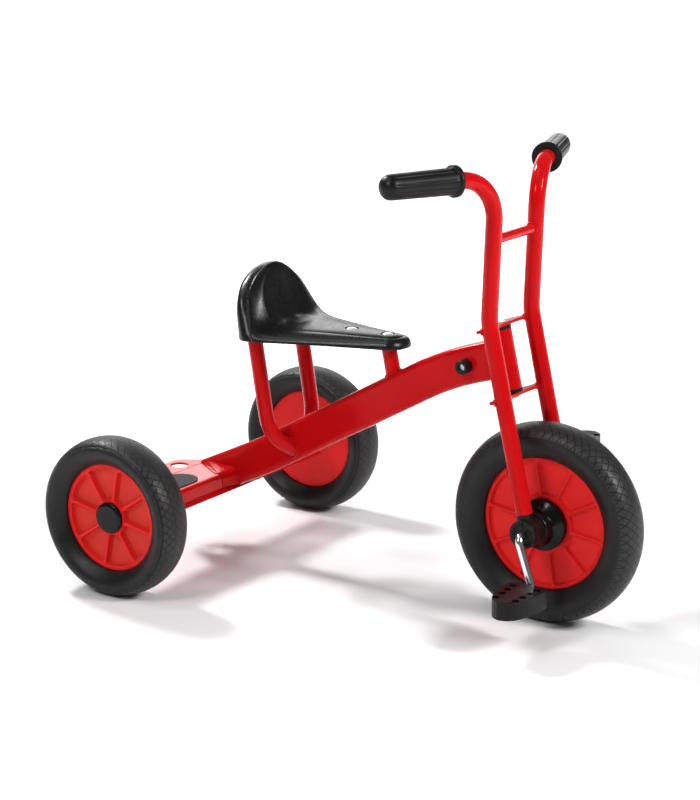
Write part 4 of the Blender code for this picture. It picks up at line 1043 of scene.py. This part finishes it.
def beam_route():
    """Centre line of the main beam, from the axle housing to the head."""
    rear = REAR_X + HOUSING_REAR + HOUSING_WALL + 0.002
    middle = (LOWER_PLATE_HEIGHT + UPPER_PLATE_HEIGHT) / 2
    head = STEER_ORIGIN + STEER_UP * middle + Vector((0, 0, BEAM_LIFT))
    low_corner = Vector((REAR_X + BEAM_LOW_CORNER, 0, BEAM_LOW_HEIGHT))
    high_corner = head - Vector((BEAM_HIGH_SETBACK, 0, BEAM_HIGH_DROP))
    first = Vector((rear, 0, HOUSING_FLOOR - GAP))
    return rounded_path([first, low_corner, high_corner, head],
                        [BEAM_LOW_BEND, BEAM_HIGH_BEND], 20)


def beam_level(distance):
    """Beam centre and slope at a distance ahead of the rear axle."""
    route = beam_route()
    x = REAR_X + distance
    for near, far in zip(route, route[1:]):
        if near.x <= x <= far.x:
            share = (x - near.x) / (far.x - near.x)
            return near.lerp(far, share), (far - near).normalized()
    raise ValueError("distance is off the beam")


def build_beam(looks):
    route = beam_route()
    rear_plane = (route[0], (1, 0, 0))
    section = box_section(BEAM_WIDTH, BEAM_DEPTH, BEAM_CORNER)
    shrink = 2 * TUBE_WALL
    bore = box_section(BEAM_WIDTH - shrink, BEAM_DEPTH - shrink, BEAM_CORNER - TUBE_WALL)
    outer, inner = sweep(route, section, rear_plane), sweep(route, bore, rear_plane)
    item = add_piece("beam_tube", loft(outer + inner[::-1], closed=True), looks["paint"], "frame",
                     ("main_beam",))
    square = ((-0.1, -0.1), (0.1, -0.1), (0.1, 0.1), (-0.1, 0.1))
    cut(item, prism([(REAR_X + x, y) for x, y in square], 0.0, HOUSING_FLOOR))
    cut(item, moved(peg(0.0063, -0.05, 0.05, 32), at(REAR_HUB)))
    reach = HEAD_TUBE_RADIUS + GAP
    cut(item, moved(moved(peg(reach, 0.12, 0.32, 64), UPRIGHT), STEERING))
    shade(item, 35.0)
    ahead = (route[-1] - route[-2]).normalized()
    bead = []
    for point in sweep(route, section)[-1]:
        away = (point - STEER_ORIGIN).dot(STEER_FORWARD)
        away += math.sqrt(max(0.0, reach ** 2 - point.y ** 2))
        bead.append(point - ahead * (away / ahead.dot(STEER_FORWARD)))
    weld_bead("head_weld", bead, BEADS["head"], looks, "frame")
    root = REAR_X + HOUSING_REAR - 0.0002
    line = [Vector((root, y, 0.1115)) for y in (-0.058, 0.058)]
    weld_bead("tow_plate_weld", line, BEADS["tow"], looks, "frame", None, False)


def seat_post_base(top):
    """Where the leaning seat post meets the beam, and the beam's normal there."""
    distance = SEAT_NOSE
    for _ in range(12):
        centre, slope = beam_level(distance)
        normal = Vector((-slope.z, 0, slope.x))
        base = centre + normal * (BEAM_DEPTH / 2 + GAP)
        distance += top.x + SEAT_POST_LEAN * (top.z - base.z) - base.x
    return base, normal


def build_seat_tube(names, route, planes, foot, looks):
    """A tube under the seat, named (piece, node, weld), with the weld round its foot."""
    shape = pipe(route, SEAT_TUBE_RADIUS, SEAT_TUBE_RADIUS - TUBE_WALL, 40, *planes)
    add_piece(names[0], shape, looks["paint"], "frame", (names[1],))
    joint = sweep(route, circle(SEAT_TUBE_RADIUS, 48), *planes)[foot]
    weld_bead(names[2], joint, BEADS["seat"], looks, "frame")


def build_seat_frame(looks):
    low = BRACKET_TOP - 0.003 - GAP
    under_bracket = ((0, 0, low), (0, 0, 1))
    beam_side = BEAM_WIDTH / 2 + GAP
    foot_height = beam_level(SEAT_TUBE_FOOT)[0].z - 0.0104
    for side, sign in SIDES.items():
        y = sign * SEAT_TUBE_SPREAD
        top = Vector((REAR_X + SEAT_TUBE_TOP, y, low + 0.005))
        corner = Vector((REAR_X + SEAT_TUBE_CORNER, y, foot_height + 0.0292))
        foot = Vector((REAR_X + SEAT_TUBE_FOOT, sign * (beam_side - 0.004), foot_height))
        route = rounded_path([top, corner, foot], [SEAT_TUBE_BEND], 16)
        names = ("seat_tube_" + side + "_bend", "seat_tube_" + side, "seat_tube_weld_" + side)
        planes = (under_bracket, ((0, sign * beam_side, 0), (0, 1, 0)))
        build_seat_tube(names, route, planes, -1, looks)
    top = Vector((REAR_X + SEAT_NOSE - SEAT_BOLT_SETBACK, 0, low))
    base, normal = seat_post_base(top)
    build_seat_tube(("seat_post_tube", "seat_post", "seat_post_weld"), [base, top],
                    ((base, normal), under_bracket), 0, looks)


# Seat

def seat_plan(rear, nose, corner, half_width, nose_half_width):
    """Half plan of one level of the seat, from rear to nose."""
    corner_x = rear + corner
    nose_x = nose - nose_half_width * NOSE_LENGTH / NOSE_HALF_WIDTH
    points = []
    for i in range(24):
        angle = math.radians(90.0 * i / 24)
        points.append((corner_x - corner * math.cos(angle) ** 0.9,
                       half_width * math.sin(angle) ** 0.9))
    for i in range(20):
        share = (i / 20) ** 1.1
        bow = 0.003 * math.sin(math.pi * i / 20)
        points.append((corner_x + (nose_x - corner_x) * share,
                       half_width + (nose_half_width - half_width) * share - bow))
    for i in range(13):
        angle = math.radians(90.0 * i / 12)
        points.append((nose_x + (nose - nose_x) * math.sin(angle),
                       nose_half_width * math.cos(angle) if i < 12 else 0.0))
    return [Vector(point) for point in points]


def seat_stations():
    """Bottom edge, crest and share of the back's height at each step round the seat."""
    edge = seat_plan(SEAT_REAR, SEAT_NOSE, SEAT_CORNER, SEAT_HALF_WIDTH, NOSE_HALF_WIDTH)
    crest_rear = SEAT_REAR + CREST_REAR_INSET
    crest = seat_plan(crest_rear, SEAT_NOSE - CREST_NOSE_INSET, CREST_CORNER,
                      SEAT_HALF_WIDTH - CREST_SIDE_INSET, NOSE_HALF_WIDTH - CREST_TIP_INSET)
    stations = []
    for i, (low, high) in enumerate(zip(edge, crest)):
        run = i / 24 if i <= 24 else 1 + (high.x - crest_rear - CREST_CORNER) / SEAT_BACK_TAIL
        fall = 1 - (run / SEAT_BACK_RUN) ** SEAT_BACK_FALL
        stations.append((low, high, min(1.0, 0.5 * (fall + math.hypot(fall, 0.08)))))
    return stations


def seat_skirt_ring(level, stations):
    """Half a ring on the outside of the seat, between its bottom edge and its crest."""
    share, height_share, swell = level
    share = min(1.0, max(0.0, share))
    crown = math.sqrt(1 - (1 - share) ** 2)
    half = []
    for low, high, back in stations:
        full = smooth_step((back - 0.30) / 0.40)
        spot = low.lerp(high, share) + (low - high).normalized() * swell * back * full
        rise = (SEAT_BACK_HEIGHT - SEAT_RIDGE_HEIGHT) * back
        share_of_rise = crown + (height_share - crown) * full
        half.append((spot.x, spot.y, SEAT_RIDGE_HEIGHT * crown + rise * share_of_rise))
    return half


def seat_bowl_ring(level, stations):
    """Half a ring inside the crest, on the way down to the pan."""
    share, height_share = level
    half = []
    for low, high, back in stations:
        spine = Vector((min(max(high.x, SEAT_REAR + BOWL_SPINE), SEAT_NOSE - 0.020), 0.0))
        aim = high + (high - low).normalized() * (BOWL_AIM * (spine - high).length)
        spot = high.lerp(aim, share).lerp(aim.lerp(spine, share), share)
        pan = (SEAT_PAN_HEIGHT - SEAT_RIDGE_HEIGHT) * share * (2 - share)
        rise = (SEAT_BACK_HEIGHT - SEAT_RIDGE_HEIGHT) * back
        half.append((spot.x, spot.y, SEAT_RIDGE_HEIGHT + pan + rise * height_share))
    return half


def whole_ring(half):
    """Both halves of a ring round the seat, in world places."""
    ring = [Vector((REAR_X + x, y, SEAT_FLOOR + z)) for x, y, z in half]
    return ring + [Vector((p.x, -p.y, p.z)) for p in reversed(ring[1:-1])]


def close_ring(shape, ring):
    """Faces across a ring whose halves face each other."""
    count = len(ring)
    middle = count // 2
    for i in range(1, middle - 1):
        shape.faces.new((ring[i], ring[i + 1], ring[count - i - 1], ring[count - i]))
    shape.faces.new((ring[0], ring[1], ring[count - 1]))
    shape.faces.new((ring[middle - 1], ring[middle], ring[middle + 1]))


def eased(half, first=19, last=30):
    """Half a ring of the seat with the kink at its widest point smoothed away."""
    points = [Vector(point) for point in half]
    for _ in range(5):
        points[first:last] = [(points[i - 1] + 2 * points[i] + points[i + 1]) / 4
                              for i in range(first, last)]
    return points


def build_seat(looks):
    """Foam-moulded seat with a pocket for its bracket and two bolt recesses."""
    stations = seat_stations()
    bowl = curve_through(((0.0, 1.0),) + SEAT_BOWL, 5)[1:]
    rings = [seat_skirt_ring(level, stations) for level in curve_through(SEAT_SKIRT, 5)]
    rings += [seat_bowl_ring(level, stations) for level in bowl]
    shape = bmesh.new()
    rows = [[shape.verts.new(p) for p in whole_ring(eased(half))] for half in rings]
    bridge(shape, rows, False)
    close_ring(shape, rows[0])
    close_ring(shape, rows[-1])
    item = add_piece("seat_moulding", shape, looks["seat"], "frame", ("seat_shell",),
                     None, 40.0)
    rear = REAR_X + SEAT_TUBE_TOP - 0.0137
    front = REAR_X + SEAT_NOSE - 0.0155
    half = [(rear, 0.0665), (rear + 0.029, 0.0665), (rear + 0.029, 0.015), (front, 0.015)]
    pocket = half + [(x, -y) for x, y in reversed(half)]
    cut(item, prism(pocket, SEAT_FLOOR - 0.01, BRACKET_TOP + GAP))
    top = SEAT_FLOOR + SEAT_PAN_HEIGHT
    front_bolt = SEAT_NOSE - SEAT_BOLT_SETBACK
    for distance in (front_bolt - SEAT_BOLT_SPACING, front_bolt):
        hole = lathe([(0.0, -0.02), (0.0033, -0.02), (0.0033, 0.0), (0.0098, 0.0), (0.0098, 0.02),
                      (0.0, 0.02)], 64)
        cut(item, moved(moved(hole, UPRIGHT), at((REAR_X + distance, 0, top - 0.0022))))
    shade(item, 40.0)


# Small pieces

def build_pads(looks):
    """Gritty sheets on the axle housing, round at their inner ends."""
    middle = REAR_X + (HOUSING_FRONT + HOUSING_REAR) / 2 - 0.001
    radius, outer, low = 0.025, HOUSING_HALF_LENGTH - 0.004, HOUSING_TOP + GAP / 2
    outline = arc_points((middle, 0.071 + radius), radius, 180.0, 360.0, 40)
    outline += [(middle + radius, outer), (middle - radius, outer)]
    for side, sign in SIDES.items():
        sheet = prism([(x, sign * y) for x, y in outline], low, low + 0.0013)
        item = add_piece("tread_pad_" + side + "_sheet", sheet, looks["pad"], "frame",
                         ("tread_pad_" + side,))
        add_bevel(item, 0.0004)


def dress_nodes(frame, looks):
    """Finishes for the CAD nodes that stay in view."""
    finish = {"paint": "paint", "hub": "rim", "black": "black", "tyre": "front_tyre", "pad": "pad",
              "chrome": "chrome", "steel": "steel"}
    slots = {entry["node"]: entry["material_slot"] for entry in frame["record"]["subparts"]}
    for name, item in frame["nodes"].items():
        look = looks[finish[slots[name]]]
        item.data.materials.clear()
        item.data.materials.append(look)


def make_looks():
    rib = (0.78, 0.016, 0.016)
    return {"paint": paint_look(), "weld": paint_look("weld_paint", 0.0),
            # The rear rims' pocket floor colour is darker than the ribs: painted shade in the
            # pockets.
            "rear_rim": rim_look("rear_rim_plastic", rib, (0.66, 0.040, 0.028)),
            "rim": rim_look("front_rim_plastic", rib, (0.80, 0.022, 0.022)),
            "black": black_plastic("black_plastic", 0.36, 0.16).material, "pedal": pedal_look(),
            "grip": black_plastic("grip_plastic", 0.36, 0.2, 0.0).material, "seat": seat_look(),
            "cover": black_plastic("cover_plastic", 0.22, 0.04).material,
            "rear_tyre": tyre_look("rear_tyre_rubber", REAR_RADIUS, REAR_BEAD_RADIUS, 58,
                                   (0.008, 0.026)),
            "front_tyre": tyre_look("front_tyre_rubber", FRONT_RADIUS, FRONT_BEAD_RADIUS, 70, ()),
            "pad": pad_look(), "chrome": chrome_look(), "steel": steel_look()}


# Studio

def add_area(name, place, target, size, energy):
    light = bpy.data.lights.new(name, "AREA")
    light.shape = "RECTANGLE"
    light.size, light.size_y = size
    light.energy = energy
    item = add_item(name, light, place)
    item.rotation_euler = (Vector(target) - item.location).to_track_quat("-Z", "Y").to_euler()


def build_studio():
    shape = bmesh.new()
    half = FLOOR_HALF
    corners = ((-half, -half), (half, -half), (half, half), (-half, half))
    shape.faces.new([shape.verts.new((x, y, FLOOR_LEVEL)) for x, y in corners])
    floor = add_mesh("floor", shape)
    look = Look("pale_floor", (0.90, 0.90, 0.91), 1.0)
    look.colour(look.tone(0.8, 2.0, (0.89, 0.89, 0.90), (0.915, 0.915, 0.92)))
    look.set("Specular IOR Level", 0.0)
    length = look.node("ShaderNodeVectorMath", operation="LENGTH")
    look.wire(look.place(), length.inputs[0])
    look.set("Emission Color", (1.0, 1.0, 1.0, 1.0))
    look.wire(look.spread(length.outputs["Value"], *FLOOR_GLOW, True),
              look.shader.inputs["Emission Strength"])
    floor.data.materials.append(look.material)
    world = bpy.data.worlds.new("studio")
    world.use_nodes = True
    background = world.node_tree.nodes["Background"]
    background.inputs["Color"].default_value = (1.0, 1.0, 1.0, 1.0)
    background.inputs["Strength"].default_value = WORLD_STRENGTH
    bpy.context.scene.world = world
    bpy.context.scene.view_settings.view_transform = "Standard"
    sun = bpy.data.lights.new("ceiling", "SUN")
    sun.energy = SUN_STRENGTH
    sun.angle = SUN_SPREAD
    ceiling = add_item("ceiling", sun)
    ceiling.rotation_euler = Vector(SUN_PLACE).to_track_quat("Z", "Y").to_euler()
    for name, lamp in LAMPS.items():
        add_area(name, *lamp)


def build_camera():
    data = bpy.data.cameras.new("camera")
    data.sensor_fit = "VERTICAL"
    data.sensor_height = SENSOR_HEIGHT
    data.lens = CAMERA_LENS
    camera = add_item("camera", data, CAMERA_PLACE)
    camera.rotation_euler = (math.radians(90.0) - CAMERA_ELEVATION, 0.0, CAMERA_AZIMUTH)
    bpy.context.scene.camera = camera


def build_scene():
    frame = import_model()
    looks = make_looks()
    dress_nodes(frame, looks)
    build_rear_wheels(looks)
    build_front_wheel(looks)
    build_pedals(looks)
    build_blocks(looks)
    build_fork(looks)
    build_beam(looks)
    build_seat_frame(looks)
    build_seat(looks)
    build_pads(looks)
    build_studio()
    build_camera()


build_scene()
